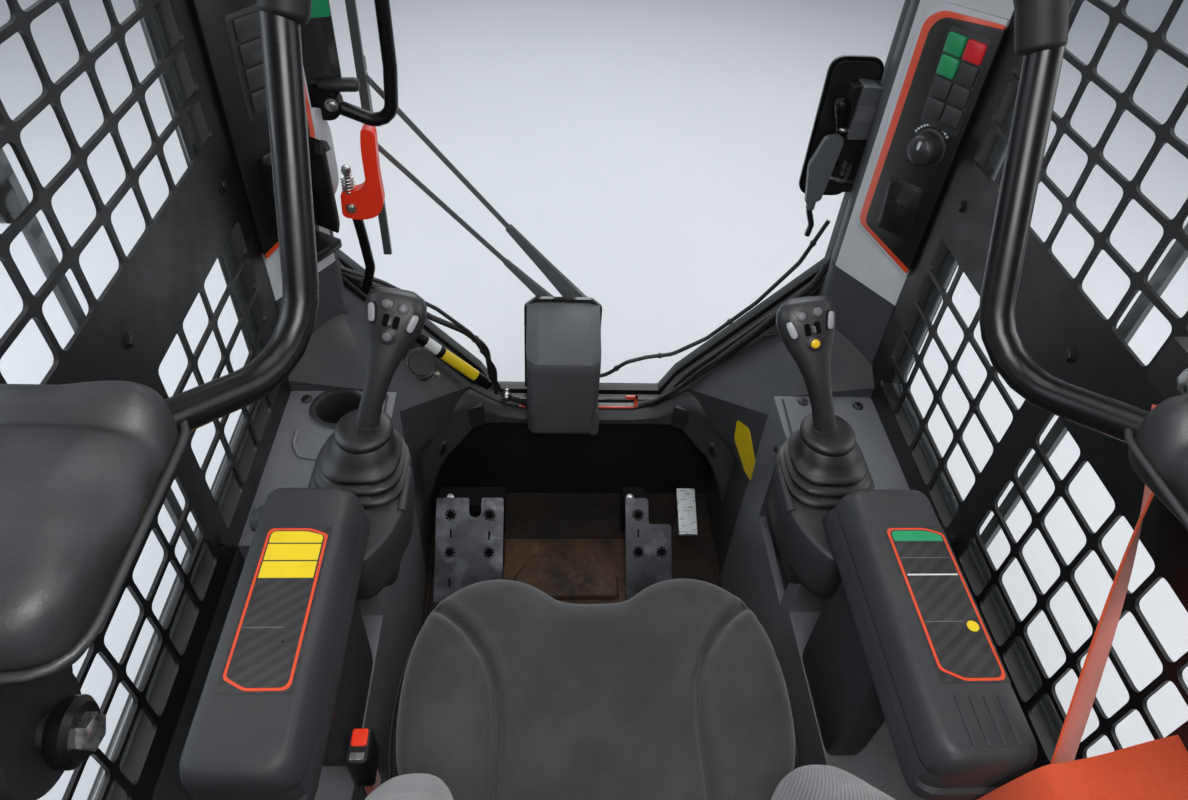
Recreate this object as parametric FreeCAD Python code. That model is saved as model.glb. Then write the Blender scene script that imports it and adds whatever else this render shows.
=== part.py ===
import FreeCAD, Part
import math
import os

os.makedirs("parts", exist_ok=True)

# Operator cab of a skid steer loader. Millimetres. +X is the operator's right,
# +Y is forward, +Z is up. The cab stands on z = 0 and its box is centred on x = 0, y = 0.

# Outer box and walls
HALF_W = 470.0
HALF_L = 690.0
CAB_H = 1600.0
WALL = 40.0
BASE_H = 60.0
BASE_TUBE = 60.0
BASE_HOLE_R = 9.0
FLOOR_T = 20.0
ROOF_T = 60.0
ROOF_CORNER = 30.0
GLASS_T = 6.0

# Front
LAMP_DEPTH = 50.0
LAMP_W = 110.0
LAMP_EDGE = 6.0
ROOF_OVER = 10.0
PANEL_T = 30.0
PILLAR_W = 50.0
PILLAR_L = 200.0
HEADER_H = 60.0
SILL_Z = 335.0
SILL_HALF = 160.0
ELBOW_X = 190.0
ELBOW_Z = 390.0
KNEE_Z = 635.0
KNEE_IN = 5.0
SEAL = 12.0
SEAL_W = 18.0

# Side screens and the panels behind them
SCREEN_Z = 560.0
SCREEN_L = 690.0
RING = 35.0
MESH_T = 7.0
BAR = 9.0
BAND_LOW = 850.0
BAND_HIGH = 948.0
RIB_BACK = 309.0
RIB_W = 34.0
REAR_PILLAR_L = 90.0
SLOT_Z = 640.0
SLOT_H = 12.0
SLOT_STEP = 28.0
SLOT_COUNT = 6

# Roof and rear windows
ROOF_WIN_HALF = 250.0
ROOF_WIN_L = 400.0
ROOF_WIN_BACK = 380.0
REAR_WIN_EDGE = 70.0
REAR_WIN_Z = 760.0
REAR_WIN_TOP = 100.0

# Door
DOOR_GAP = 6.0
DOOR_T = 20.0
DOOR_OUT = 26.0
DOOR_IN = 12.0
HINGE_EDGE = 12.0
HINGE_R = 9.0
PIN_R = 5.0
RUN = 0.05
KNUCKLE = 30.0
HINGE_LOW = 125.0
HINGE_TOP = 180.0
MOVE_GAP = 9.0
COVER_X = -33.0
COVER_W = 118.0
COVER_H = 194.0
COVER_D = 132.0
COVER_FOLD = 147.0
WIPER_GAP = 25.0
WIPER_REACH = 295.0
WIPER_RISE = 290.0
WIPER_STEP = 100.0
BLADE_L = 480.0
LATCH_W = 78.0
LATCH_H = 210.0
LATCH_D = 40.0
LATCH_Z = 130.0

# Seat
CUSHION_HALF = 246.0
CUSHION_L = 420.0
CUSHION_TOP = 480.0
CUSHION_T = 100.0
SEAT_BACK_OFF = 440.0
NOTCH = 34.0
BACK_HALF = 218.0
BACK_UP = 535.0
BACK_T = 85.0
BOLSTER = 85.0
BOLSTER_W = 92.0
PAN_T = 20.0
PAN_HALF = 230.0
BELLOWS_HALF = 190.0

# Consoles and armrests
CONSOLE_GAP = 34.0
SHELF_Z = 560.0
SHELF_L = 270.0
TRAY_Z = 400.0
TRAY_L = 530.0
TRIM_L = 200.0
ARM_GAP = 10.0
ARM_W = 95.0
ARM_L = 295.0
ARM_BACK = 65.0
ARM_TOP = 720.0
ARM_T = 75.0
NOSE_TOP = 625.0
NOSE_W = 108.0
BOOT_R = 52.0
BOOT_H = 78.0
GRIP_X = 231.0
GRIP_Z = 815.0
STICK_R = 16.0
POCKET_WALL = 12.0
POCKET_W = 112.0
POCKET_Z = 250.0
POCKET_LIP = 370.0
SHELF_T = 60.0
CUP_R = 32.0
CUP_D = 70.0

# Belt
STRAP_W = 46.0
STRAP_T = 3.0

# Handles at the left front corner
LOOP_Z = 905.0
LOOP_H = 260.0
LEVER_Z = 726.0
LEVER_H = 138.0

# Footrest plates
REST_OFF = 106.0
REST_L = 154.0
REST_H = 120.0
REST_T = 8.0

# Fascia below the sill
FASCIA_L = 60.0
FASCIA_H = 63.0

# Seat bar, measured from its pivot
BAR_R = 12.0
BAR_BEND = 58.0
PIVOT_DROP = 570.0
PIVOT_BACK = 10.0
PIVOT_R = 8.0
BOSS_R = 24.0
BAR_ARM_IN = 124.0
ARM_PLATE = 14.0
HUB_R = 30.0
PAD_IN = 60.0
PAD_W = 106.0
PAD_L = 146.0
PAD_BACK = 26.0
PAD_UP = 70.0
PAD_T = 52.0

# Stations that follow from the sizes above
FLOOR_Z = BASE_H + FLOOR_T
ROOF_Z = CAB_H - ROOF_T
IN_X = HALF_W - WALL
OPEN_HALF = HALF_W - PILLAR_W
OPEN_TOP = ROOF_Z - HEADER_H
REAR_Y = -HALF_L
REAR_IN = REAR_Y + WALL
ROOF_FRONT = HALF_L - LAMP_DEPTH
FRAME_FRONT = ROOF_FRONT - ROOF_OVER
PANEL_BACK = FRAME_FRONT - PANEL_T
SCREEN_FRONT = FRAME_FRONT - PILLAR_L
SCREEN_REAR = SCREEN_FRONT - SCREEN_L
QUARTER_REAR = REAR_Y + REAR_PILLAR_L
ELBOW = (ELBOW_X, ELBOW_Z)
KNEE = (OPEN_HALF - KNEE_IN, KNEE_Z)
TRIM_BACK = PANEL_BACK - TRIM_L
SHELF_REAR = TRIM_BACK - SHELF_L
TRAY_REAR = SHELF_REAR - TRAY_L
SEAT_FRONT = PANEL_BACK - SEAT_BACK_OFF
SEAT_REAR = SEAT_FRONT - CUSHION_L
PAN_Z = CUSHION_TOP - CUSHION_T
CONSOLE_IN = CUSHION_HALF + CONSOLE_GAP
ARM_X0 = CUSHION_HALF + ARM_GAP
ARM_X1 = ARM_X0 + ARM_W
ARM_Y1 = SEAT_FRONT - ARM_BACK
ARM_Y0 = ARM_Y1 - ARM_L
STICK_X = ARM_X0 + 26.0
STICK_Y = ARM_Y1 + 80.0
FASCIA_Z0 = SILL_Z - FASCIA_H
BAR_ARM_X = IN_X - BAR_ARM_IN
PAD_X0 = BAR_ARM_X - PAD_IN
PIVOT_Y = SCREEN_REAR - PIVOT_BACK
PIVOT_Z = ROOF_Z - PIVOT_DROP
PAD_Y0 = PIVOT_Y - PAD_BACK
PAD_Y1 = PAD_Y0 + PAD_L
PAD_Z0 = PIVOT_Z + PAD_UP

V = FreeCAD.Vector
X = V(1, 0, 0)
Y = V(0, 1, 0)
Z = V(0, 0, 1)


def block(x0, x1, y0, y1, z0, z1):
    return Part.makeBox(x1 - x0, y1 - y0, z1 - z0, V(x0, y0, z0))


def soften(shape, radius, *axes):
    # Round the straight edges that run along the given directions
    edges = []
    for edge in shape.Edges:
        if isinstance(edge.Curve, Part.Line):
            along = edge.Vertexes[1].Point.sub(edge.Vertexes[0].Point).normalize()
            if any(abs(abs(along.dot(axis)) - 1.0) < 0.001 for axis in axes):
                edges.append(edge)
    return shape.makeFillet(radius, edges)


def ring_of(points, plane, level):
    place = {"xz": lambda a, b: V(a, level, b), "yz": lambda a, b: V(level, a, b), "xy": lambda a, b: V(a, b, level)}
    corners = [place[plane](a, b) for a, b in points]
    return Part.makePolygon(corners + corners[:1])


def prism(points, plane, low, high):
    grow = {"xz": Y, "yz": X, "xy": Z}[plane]
    return Part.Face(ring_of(points, plane, low)).extrude(V(grow).multiply(high - low))


def rod(start, end, radius):
    along = V(*end).sub(V(*start))
    return Part.makeCylinder(radius, along.Length, V(*start), along)


def bent_tube(points, radius, bend):
    path = [V(*p) for p in points]
    edges = []
    last = path[0]
    for index in range(1, len(path) - 1):
        before = path[index - 1].sub(path[index]).normalize()
        after = path[index + 1].sub(path[index]).normalize()
        half = before.getAngle(after) / 2.0
        reach = bend / math.tan(half)
        start = path[index].add(V(before).multiply(reach))
        end = path[index].add(V(after).multiply(reach))
        middle = V(before).add(after).normalize()
        hub = path[index].add(V(middle).multiply(bend / math.sin(half)))
        edges.append(Part.makeLine(last, start))
        edges.append(Part.Arc(start, hub.sub(V(middle).multiply(bend)), end).toShape())
        last = end
    edges.append(Part.makeLine(last, path[-1]))
    ring = Part.Wire(Part.makeCircle(radius, path[0], path[1].sub(path[0])))
    return Part.Wire(edges).makePipeShell([ring], True, True)


def other_side(shape):
    return shape.mirror(V(0, 0, 0), X)


def both(shape):
    return Part.makeCompound([shape, other_side(shape)])


def opening(grow):
    # Door opening outline, moved out by grow on every side
    half = [(SILL_HALF, SILL_Z), ELBOW, KNEE, (OPEN_HALF, OPEN_TOP)]
    corners = half + [(-x, z) for x, z in reversed(half)]
    result = []
    for index, corner in enumerate(corners):
        back = corners[index - 1]
        ahead = corners[(index + 1) % len(corners)]
        lines = []
        for start, end in ((back, corner), (corner, ahead)):
            dx = end[0] - start[0]
            dz = end[1] - start[1]
            size = math.hypot(dx, dz)
            lines.append((dz / size, -dx / size, (dz * corner[0] - dx * corner[1]) / size + grow))
        (a, b, c), (d, e, f) = lines
        det = a * e - b * d
        result.append(((c * e - b * f) / det, (a * f - c * d) / det))
    return result


def rectangle(x, y0, y1, z0, z1):
    return ring_of([(y0, z0), (y1, z0), (y1, z1), (y0, z1)], "yz", x)


def mesh_panel():
    # Punched side screen: one plate with rows of holes, a solid belt and one rib
    y0 = SCREEN_REAR + RING
    y1 = SCREEN_FRONT - RING
    z0 = SCREEN_Z + RING
    z1 = ROOF_Z - RING
    rib = SCREEN_FRONT - RIB_BACK
    fields = [(y0, y1, BAND_HIGH, z1, 10, 11), (y0, rib - RIB_W, z0, BAND_LOW, 5, 5), (rib, y1, z0, BAND_LOW, 4, 5)]
    wires = [rectangle(IN_X, y0, y1, z0, z1)]
    for a0, a1, b0, b1, columns, rows in fields:
        step_y = (a1 - a0) / columns
        step_z = (b1 - b0) / rows
        for column in range(columns):
            for row in range(rows):
                ya = a0 + column * step_y + BAR / 2.0
                za = b0 + row * step_z + BAR / 2.0
                wires.append(rectangle(IN_X, ya, ya + step_y - BAR, za, za + step_z - BAR))
    return Part.Face(wires).extrude(V(MESH_T, 0, 0))


parts = {}

# Base frame with the four bolt holes that hold the cab on the machine
inner = HALF_W - BASE_TUBE
base = block(-HALF_W, HALF_W, REAR_Y, FRAME_FRONT, 0, BASE_H)
base = base.cut(block(-inner, inner, REAR_Y + BASE_TUBE, FRAME_FRONT - BASE_TUBE, 0, BASE_H))
for y in (SCREEN_REAR - BASE_TUBE, SEAT_FRONT - BASE_TUBE):
    base = base.fuse(block(-inner, inner, y, y + BASE_TUBE, 0, BASE_H))
for x in (-HALF_W + BASE_TUBE / 2.0, HALF_W - BASE_TUBE / 2.0):
    for y in (REAR_Y + REAR_PILLAR_L, FRAME_FRONT - REAR_PILLAR_L):
        base = base.cut(Part.makeCylinder(BASE_HOLE_R, BASE_H, V(x, y, 0)))
parts["base_frame"] = base.removeSplitter()
parts["floor_pan"] = block(-IN_X, IN_X, REAR_IN, PANEL_BACK, BASE_H, FLOOR_Z)

# Side walls below the screens, quarter panels and pillars
side = block(IN_X, HALF_W, QUARTER_REAR, SCREEN_FRONT, BASE_H, SCREEN_Z)
quarter = block(IN_X, HALF_W, QUARTER_REAR, SCREEN_REAR, SCREEN_Z, ROOF_Z)
slot_edge = (SCREEN_REAR - QUARTER_REAR) / 6.0
for row in range(SLOT_COUNT):
    z = SLOT_Z + row * SLOT_STEP
    slot = block(IN_X, HALF_W, QUARTER_REAR + slot_edge, SCREEN_REAR - slot_edge, z, z + SLOT_H)
    quarter = quarter.cut(slot)
rear_pillar = block(IN_X, HALF_W, REAR_Y, QUARTER_REAR, BASE_H, ROOF_Z)
pillar = prism([(HALF_W, SCREEN_FRONT), (HALF_W, FRAME_FRONT), (OPEN_HALF, FRAME_FRONT),
                (OPEN_HALF, PANEL_BACK), (IN_X, PANEL_BACK), (IN_X, SCREEN_FRONT)], "xy", BASE_H, ROOF_Z)

# Side screens with their window panes
screen = block(IN_X, HALF_W, SCREEN_REAR, SCREEN_FRONT, SCREEN_Z, ROOF_Z)
window = (SCREEN_REAR + RING, SCREEN_FRONT - RING, SCREEN_Z + RING, ROOF_Z - RING)
screen = screen.cut(block(IN_X, HALF_W, *window)).fuse(mesh_panel()).removeSplitter()
pane_x = IN_X + WALL / 2.0
parts["side_windows"] = both(block(pane_x, pane_x + GLASS_T, *window))

# Roof with its window, header, lamps, rear wall and rear window
roof = soften(block(-HALF_W, HALF_W, REAR_Y, ROOF_FRONT, ROOF_Z, CAB_H), ROOF_CORNER, Z)
hatch_y = FRAME_FRONT - ROOF_WIN_BACK - ROOF_WIN_L
hatch = (-ROOF_WIN_HALF, ROOF_WIN_HALF, hatch_y, hatch_y + ROOF_WIN_L)
parts["roof"] = roof.cut(block(*hatch, ROOF_Z, CAB_H))
hatch_z = ROOF_Z + ROOF_T / 2.0
parts["roof_window"] = block(*hatch, hatch_z, hatch_z + GLASS_T)
parts["header"] = block(-OPEN_HALF, OPEN_HALF, PANEL_BACK, FRAME_FRONT, OPEN_TOP, ROOF_Z)
lamp_x = HALF_W - ROOF_CORNER - LAMP_EDGE
lamp = block(lamp_x - LAMP_W, lamp_x, ROOF_FRONT, HALF_L, ROOF_Z + LAMP_EDGE, CAB_H - LAMP_EDGE)
parts["lamps"] = both(soften(lamp, 12.0, Y))
glazed = (REAR_WIN_EDGE - IN_X, IN_X - REAR_WIN_EDGE)
rear = block(-IN_X, IN_X, REAR_Y, REAR_IN, BASE_H, ROOF_Z)
rear = rear.cut(block(*glazed, REAR_Y, REAR_IN, REAR_WIN_Z, ROOF_Z - REAR_WIN_TOP))
parts["rear_wall"] = rear
pane_y = REAR_Y + WALL / 2.0
parts["rear_window"] = block(*glazed, pane_y, pane_y + GLASS_T, REAR_WIN_Z, ROOF_Z - REAR_WIN_TOP)

# Front panel below the door opening, and the seal round the opening
step = [(SILL_HALF, SILL_Z), ELBOW, KNEE, (OPEN_HALF, KNEE_Z + KNEE_IN), (OPEN_HALF, BASE_H)]
front = step + [(-x, z) for x, z in reversed(step)]
parts["front_panel"] = prism(front, "xz", PANEL_BACK, FRAME_FRONT)
seal_y = PANEL_BACK + (PANEL_T - SEAL_W) / 2.0
seal = prism(opening(0.0), "xz", seal_y, seal_y + SEAL_W)
parts["door_seal"] = seal.cut(prism(opening(-SEAL), "xz", seal_y, seal_y + SEAL_W))

# Fascia under the sill, and the sloping trims that rise beside it to the pillars
fascia = block(-CONSOLE_IN, CONSOLE_IN, PANEL_BACK - FASCIA_L, PANEL_BACK, FASCIA_Z0, SILL_Z)
parts["fascia"] = fascia
ahead = [(ELBOW_X, SILL_Z), ELBOW, KNEE, (IN_X, KNEE_Z + 55.0), (IN_X, FLOOR_Z), (CONSOLE_IN, FLOOR_Z)]
ahead += [(CONSOLE_IN, SILL_Z)]
behind = [(CONSOLE_IN, SILL_Z + 85.0), (CONSOLE_IN, SHELF_Z - 40.0), (CONSOLE_IN + 25.0, SHELF_Z)]
behind += [(IN_X, SHELF_Z + 20.0), (IN_X, FLOOR_Z), (CONSOLE_IN, FLOOR_Z), (CONSOLE_IN, SILL_Z)]
trim = Part.makeLoft([ring_of(ahead, "xz", PANEL_BACK), ring_of(behind, "xz", TRIM_BACK)], True, True)

# Pillar trims with a slanting face, and the control panels on that face
foot = (IN_X, SCREEN_FRONT)
nose = (IN_X - 65.0, PANEL_BACK - 65.0)
slant = V(nose[0] - foot[0], nose[1] - foot[1], 0).normalize()
outward = V(-slant.y, slant.x, 0)
post = prism([foot, (IN_X, PANEL_BACK), (IN_X - 42.0, PANEL_BACK), nose], "xy", SHELF_Z, OPEN_TOP).cut(trim)
panel_z = KNEE_Z + 137.0
face = [(2.0, 0.0), (97.0, 31.0), (97.0, 290.0), (80.0, 300.0), (2.0, 313.0)]
corners = [V(*foot, panel_z).add(V(slant).multiply(a)).add(V(0, 0, b)) for a, b in face]
plate = Part.Face(Part.makePolygon(corners + corners[:1])).extrude(V(outward).multiply(8.0))
knob_at = V(*foot, panel_z + 163.0).add(V(slant).multiply(34.0)).add(V(outward).multiply(8.0))
knob = Part.makeCylinder(20.0, 24.0, knob_at, outward)
parts["keypad_right"] = plate.fuse(knob)
parts["switches_left"] = other_side(plate)

# Consoles beside the seat, the left one with a cup holder and the right one with a pocket
console = prism([(TRAY_REAR, FLOOR_Z), (TRIM_BACK, FLOOR_Z), (TRIM_BACK, SHELF_Z), (SHELF_REAR, SHELF_Z),
                 (SHELF_REAR, TRAY_Z), (TRAY_REAR, TRAY_Z)], "yz", CONSOLE_IN, IN_X)
cup = Part.makeCylinder(CUP_R, CUP_D, V(-(CONSOLE_IN + IN_X) / 2.0, TRIM_BACK - 35.0, SHELF_Z - CUP_D))
pocket_y = (SHELF_REAR + 30.0, SHELF_REAR + 190.0)
pocket = block(CONSOLE_IN + POCKET_WALL, CONSOLE_IN + POCKET_W, *pocket_y, POCKET_Z, SHELF_Z - SHELF_T)
pocket = pocket.fuse(block(CONSOLE_IN, CONSOLE_IN + POCKET_WALL, *pocket_y, POCKET_LIP, SHELF_Z - SHELF_T))
parts["console_right"] = console.cut(pocket)
parts["console_left"] = other_side(console).cut(cup)

# Armrests: padded beam, foot on the tray, nose under the boot
arm = soften(block(ARM_X0, ARM_X1, ARM_Y0, ARM_Y1, ARM_TOP - ARM_T, ARM_TOP), 22.0, Z)
arm = soften(arm, 9.0, X, Y)
foot_x = (ARM_X0 + ARM_X1) / 2.0
arm = arm.fuse(block(foot_x - 22.0, foot_x + 22.0, ARM_Y0 + 130.0, ARM_Y1 - 25.0, TRAY_Z, ARM_TOP - ARM_T))
boss_x = STICK_X - NOSE_W / 2.0
base = soften(block(boss_x, boss_x + NOSE_W, ARM_Y1 - 30.0, STICK_Y + BOOT_R + 8.0, SHELF_Z, NOSE_TOP), 22.0, Z)
web = block(ARM_X0 + 4.0, boss_x + NOSE_W - 4.0, ARM_Y1 - 24.0, ARM_Y1 - 20.0, NOSE_TOP, ARM_TOP - ARM_T)
chin = block(boss_x + 12.0, CONSOLE_IN, ARM_Y1 + 10.0, STICK_Y + 20.0, SHELF_Z - 55.0, SHELF_Z)
rest = arm.fuse(base).fuse(web).fuse(chin).removeSplitter()

# Joystick boots and joysticks
waist_r = BOOT_R * 0.78
waist_h = BOOT_H * 0.6
boot = Part.makeCone(BOOT_R, waist_r, waist_h, V(STICK_X, STICK_Y, NOSE_TOP))
cuff = Part.makeCone(waist_r, STICK_R + 10.0, BOOT_H - waist_h, V(STICK_X, STICK_Y, NOSE_TOP + waist_h))
boot = boot.fuse(cuff)
neck = (STICK_X, STICK_Y, NOSE_TOP + BOOT_H)
grip = (GRIP_X, STICK_Y + 75.0, GRIP_Z)
stick = Part.makeCylinder(STICK_R + 4.0, 12.0, V(*neck))
stick = stick.fuse(rod((STICK_X, STICK_Y, neck[2] + 11.9), grip, STICK_R))
head = block(grip[0] - 33.0, grip[0] + 33.0, grip[1] - 24.0, grip[1] + 32.0, grip[2] - 26.0, grip[2] + 26.0)
stick = stick.fuse(soften(head, 20.0, Y)).removeSplitter()

# Seat: suspension, pan, cushion with its notched front, back with two bolsters
suspension = block(-BELLOWS_HALF, BELLOWS_HALF, SEAT_REAR + 20.0, SEAT_FRONT - 40.0, FLOOR_Z, PAN_Z - PAN_T)
pan = block(-PAN_HALF, PAN_HALF, SEAT_REAR - 100.0, SEAT_FRONT - 20.0, PAN_Z - PAN_T, PAN_Z)
lug_y = SEAT_REAR + 8.0
lug = block(PAN_HALF, PAN_HALF + 34.0, lug_y, lug_y + 47.0, PAN_Z - 16.0, PAN_Z - 4.0)
buckle_y = SEAT_REAR + 155.0
tab = block(-PAN_HALF - 45.0, -PAN_HALF, buckle_y, buckle_y + 40.0, PAN_Z - 16.0, PAN_Z - 4.0)
parts["seat_base"] = suspension.fuse(pan).fuse(lug).fuse(tab).removeSplitter()
half = [(52.0, SEAT_FRONT - NOTCH), (88.0, SEAT_FRONT - 8.0), (132.0, SEAT_FRONT), (180.0, SEAT_FRONT - 14.0)]
half += [(CUSHION_HALF - 30.0, SEAT_FRONT - 38.0), (CUSHION_HALF - 8.0, SEAT_FRONT - 90.0)]
half += [(CUSHION_HALF, SEAT_FRONT - 170.0), (CUSHION_HALF - 4.0, SEAT_REAR + 180.0)]
half += [(CUSHION_HALF - 22.0, SEAT_REAR + 130.0), (BACK_HALF, SEAT_REAR)]
outline = half + [(-x, y) for x, y in reversed(half)]
parts["seat_cushion"] = prism(outline, "xy", PAN_Z, CUSHION_TOP)
back_top = CUSHION_TOP + BACK_UP
back = prism([(SEAT_REAR - BACK_T, PAN_Z), (SEAT_REAR, PAN_Z), (SEAT_REAR, CUSHION_TOP + 40.0),
              (SEAT_REAR - 100.0, back_top), (SEAT_REAR - 100.0 - BACK_T, back_top)], "yz", -BACK_HALF, BACK_HALF)
wing = prism([(SEAT_REAR, CUSHION_TOP + 40.0), (SEAT_REAR + BOLSTER - 10.0, CUSHION_TOP + 110.0),
              (SEAT_REAR + BOLSTER - 12.0, CUSHION_TOP + 190.0), (SEAT_REAR - 60.0, CUSHION_TOP + 400.0),
              (SEAT_REAR - 90.0, CUSHION_TOP + 400.0)], "yz", BACK_HALF - BOLSTER_W, BACK_HALF)
parts["seat_back"] = back.fuse(wing).fuse(other_side(wing)).removeSplitter()

# Footrest plates and pedal
rest_y = PANEL_BACK - REST_OFF
slope = [(rest_y - REST_L, FLOOR_Z), (rest_y - REST_L + REST_T, FLOOR_Z), (rest_y, FLOOR_Z + REST_H - REST_T)]
slope += [(rest_y, FLOOR_Z + REST_H)]
leg = (rest_y - 44.0, rest_y - 32.0, FLOOR_Z, FLOOR_Z + REST_H * 0.7)
plate_left = prism(slope, "yz", -262.0, -137.0).fuse(block(-250.0, -149.0, *leg))
notch = block(-201.0, -179.0, rest_y - 28.0, rest_y, FLOOR_Z, FLOOR_Z + REST_H)
plate_right = prism(slope, "yz", 92.0, 179.0).fuse(block(98.0, 130.0, *leg))
corner = block(136.0, 179.0, rest_y - 38.0, rest_y, FLOOR_Z, FLOOR_Z + REST_H)
parts["footrests"] = Part.makeCompound([plate_left.cut(notch), plate_right.cut(corner)])
pedal = prism([(PANEL_BACK - 180.0, FLOOR_Z + 100.0), (PANEL_BACK - 100.0, FLOOR_Z + 135.0),
               (PANEL_BACK - 100.0, FLOOR_Z + 141.0), (PANEL_BACK - 180.0, FLOOR_Z + 106.0)], "yz", 188.0, 222.0)
pedal = pedal.fuse(block(200.0, 210.0, PANEL_BACK - 110.0, PANEL_BACK - 98.0, FLOOR_Z, FLOOR_Z + 136.0))
parts["foot_pedal"] = pedal.removeSplitter()

# Belt: lap strap from the wall over the armrest to the seat, shoulder strap from its guide
# on the screen to the tray, and the buckle on its tab
lap_x = PAN_HALF + 27.0
rise = [(IN_X, 66.0), (ARM_X1, 6.0), (ARM_X1 - 14.0, -70.0), (lap_x + STRAP_T, -170.0)]
fall = [(lap_x, -168.0), (ARM_X1 - 18.0, -68.0), (ARM_X1 - 4.0, 9.0), (IN_X, 70.0)]
lap = [(x, ARM_TOP + up) for x, up in rise] + [(lap_x + STRAP_T, PAN_Z - 4.0), (lap_x, PAN_Z - 4.0)]
lap += [(x, ARM_TOP + up) for x, up in fall]
straps = [prism(lap, "xz", lug_y, lug_y + STRAP_W)]
guide = V(IN_X - 16.0, SCREEN_REAR + 228.0, BAND_HIGH + 17.0)
anchor = V(ARM_X1 - 42.0, TRAY_REAR + 23.0, TRAY_Z)
wide = V(0, STRAP_W / 2.0, 0)
corners = [anchor.sub(wide), anchor.add(wide), guide.add(wide), guide.sub(wide)]
straps.append(Part.Face(Part.makePolygon(corners + corners[:1])).extrude(V(STRAP_T, 0, 0)))
plate = block(guide.x, IN_X, guide.y - 34.0, guide.y + 34.0, guide.z, guide.z + 34.0)
straps[1] = straps[1].fuse(soften(plate, 10.0, X)).removeSplitter()
parts["belt_strap"] = Part.makeCompound(straps)
buckle = block(-PAN_HALF - 42.0, -PAN_HALF - 19.0, buckle_y, buckle_y + 40.0, PAN_Z - 4.0, CUSHION_TOP + 22.0)
parts["belt_buckle"] = soften(buckle, 5.0, Z)

# Grab loop and release lever on the left pillar trim
loop_y = PANEL_BACK - 25.0
loop_x = IN_X - 50.0
path = [(-loop_x, loop_y, LOOP_Z), (-loop_x + 90.0, loop_y, LOOP_Z - 36.0), (-loop_x + 118.0, loop_y, LOOP_Z + 37.0)]
path += [(-loop_x + 118.0, loop_y, LOOP_Z + LOOP_H - 25.0), (-loop_x, loop_y, LOOP_Z + LOOP_H)]
parts["grab_loop"] = bent_tube(path, 9.0, 22.0).cut(other_side(post))
lever_y = (PANEL_BACK - 28.0, PANEL_BACK - 10.0)
lever = block(-IN_X + 40.0, -IN_X + 120.0, *lever_y, LEVER_Z, LEVER_Z + 42.0)
lever = lever.fuse(block(-IN_X + 98.0, -IN_X + 120.0, *lever_y, LEVER_Z + 14.0, LEVER_Z + LEVER_H))
parts["release_lever"] = lever.removeSplitter().cut(other_side(post))

# Gas strut on two studs along the lower left edge of the door opening
edge = V(KNEE[0] - ELBOW_X, 0, KNEE_Z - ELBOW_Z).normalize()
lift = V(-edge.z, 0, edge.x)
strut_y = PANEL_BACK - 12.0
low = V(ELBOW_X, strut_y, ELBOW_Z).add(V(edge).multiply(20.0))
high = V(low).add(V(edge).multiply(190.0))
strut = None
for stud in (low, high):
    pin = Part.makeCylinder(4.0, 26.0, V(stud).sub(V(lift).multiply(4.0)), lift)
    strut = pin if strut is None else strut.fuse(pin)
a = V(low).add(V(lift).multiply(20.0))
strut = strut.fuse(Part.makeCylinder(8.0, 120.0, V(a).add(V(edge).multiply(70.0)), edge))
strut = strut.fuse(Part.makeCylinder(4.5, 190.0, a, edge))
parts["gas_strut"] = other_side(strut.cut(trim).removeSplitter())

# Door frame and glass with its hinges
door_y = FRAME_FRONT + DOOR_GAP
frame = prism(opening(DOOR_OUT), "xz", door_y, door_y + DOOR_T)
frame = frame.cut(prism(opening(-DOOR_IN), "xz", door_y, door_y + DOOR_T))
hinge_x = HINGE_EDGE - HALF_W
axis_y = door_y + DOOR_T / 2.0
posts = []
for z in (KNEE_Z + HINGE_LOW, OPEN_TOP - HINGE_TOP):
    top = z + KNUCKLE + 1.0
    frame = frame.fuse(Part.makeCylinder(HINGE_R, KNUCKLE, V(hinge_x, axis_y, top)))
    frame = frame.fuse(block(hinge_x, -OPEN_HALF, axis_y - 4.0, axis_y + 4.0, top, top + KNUCKLE))
    frame = frame.cut(Part.makeCylinder(PIN_R + RUN, KNUCKLE + 2.0, V(hinge_x, axis_y, top - 1.0)))
    lug = Part.makeCylinder(HINGE_R, KNUCKLE, V(hinge_x, axis_y, z))
    lug = lug.fuse(block(hinge_x - HINGE_R, hinge_x + HINGE_R, FRAME_FRONT, axis_y, z, z + KNUCKLE))
    posts.append(lug.fuse(Part.makeCylinder(PIN_R, 2.0 * KNUCKLE, V(hinge_x, axis_y, z))).removeSplitter())
parts["door_frame"] = frame.removeSplitter()
parts["door_hinges"] = Part.makeCompound(posts)
glass_y = door_y + (DOOR_T - GLASS_T) / 2.0
parts["door_glass"] = prism(opening(-DOOR_IN), "xz", glass_y, glass_y + GLASS_T)

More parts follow.
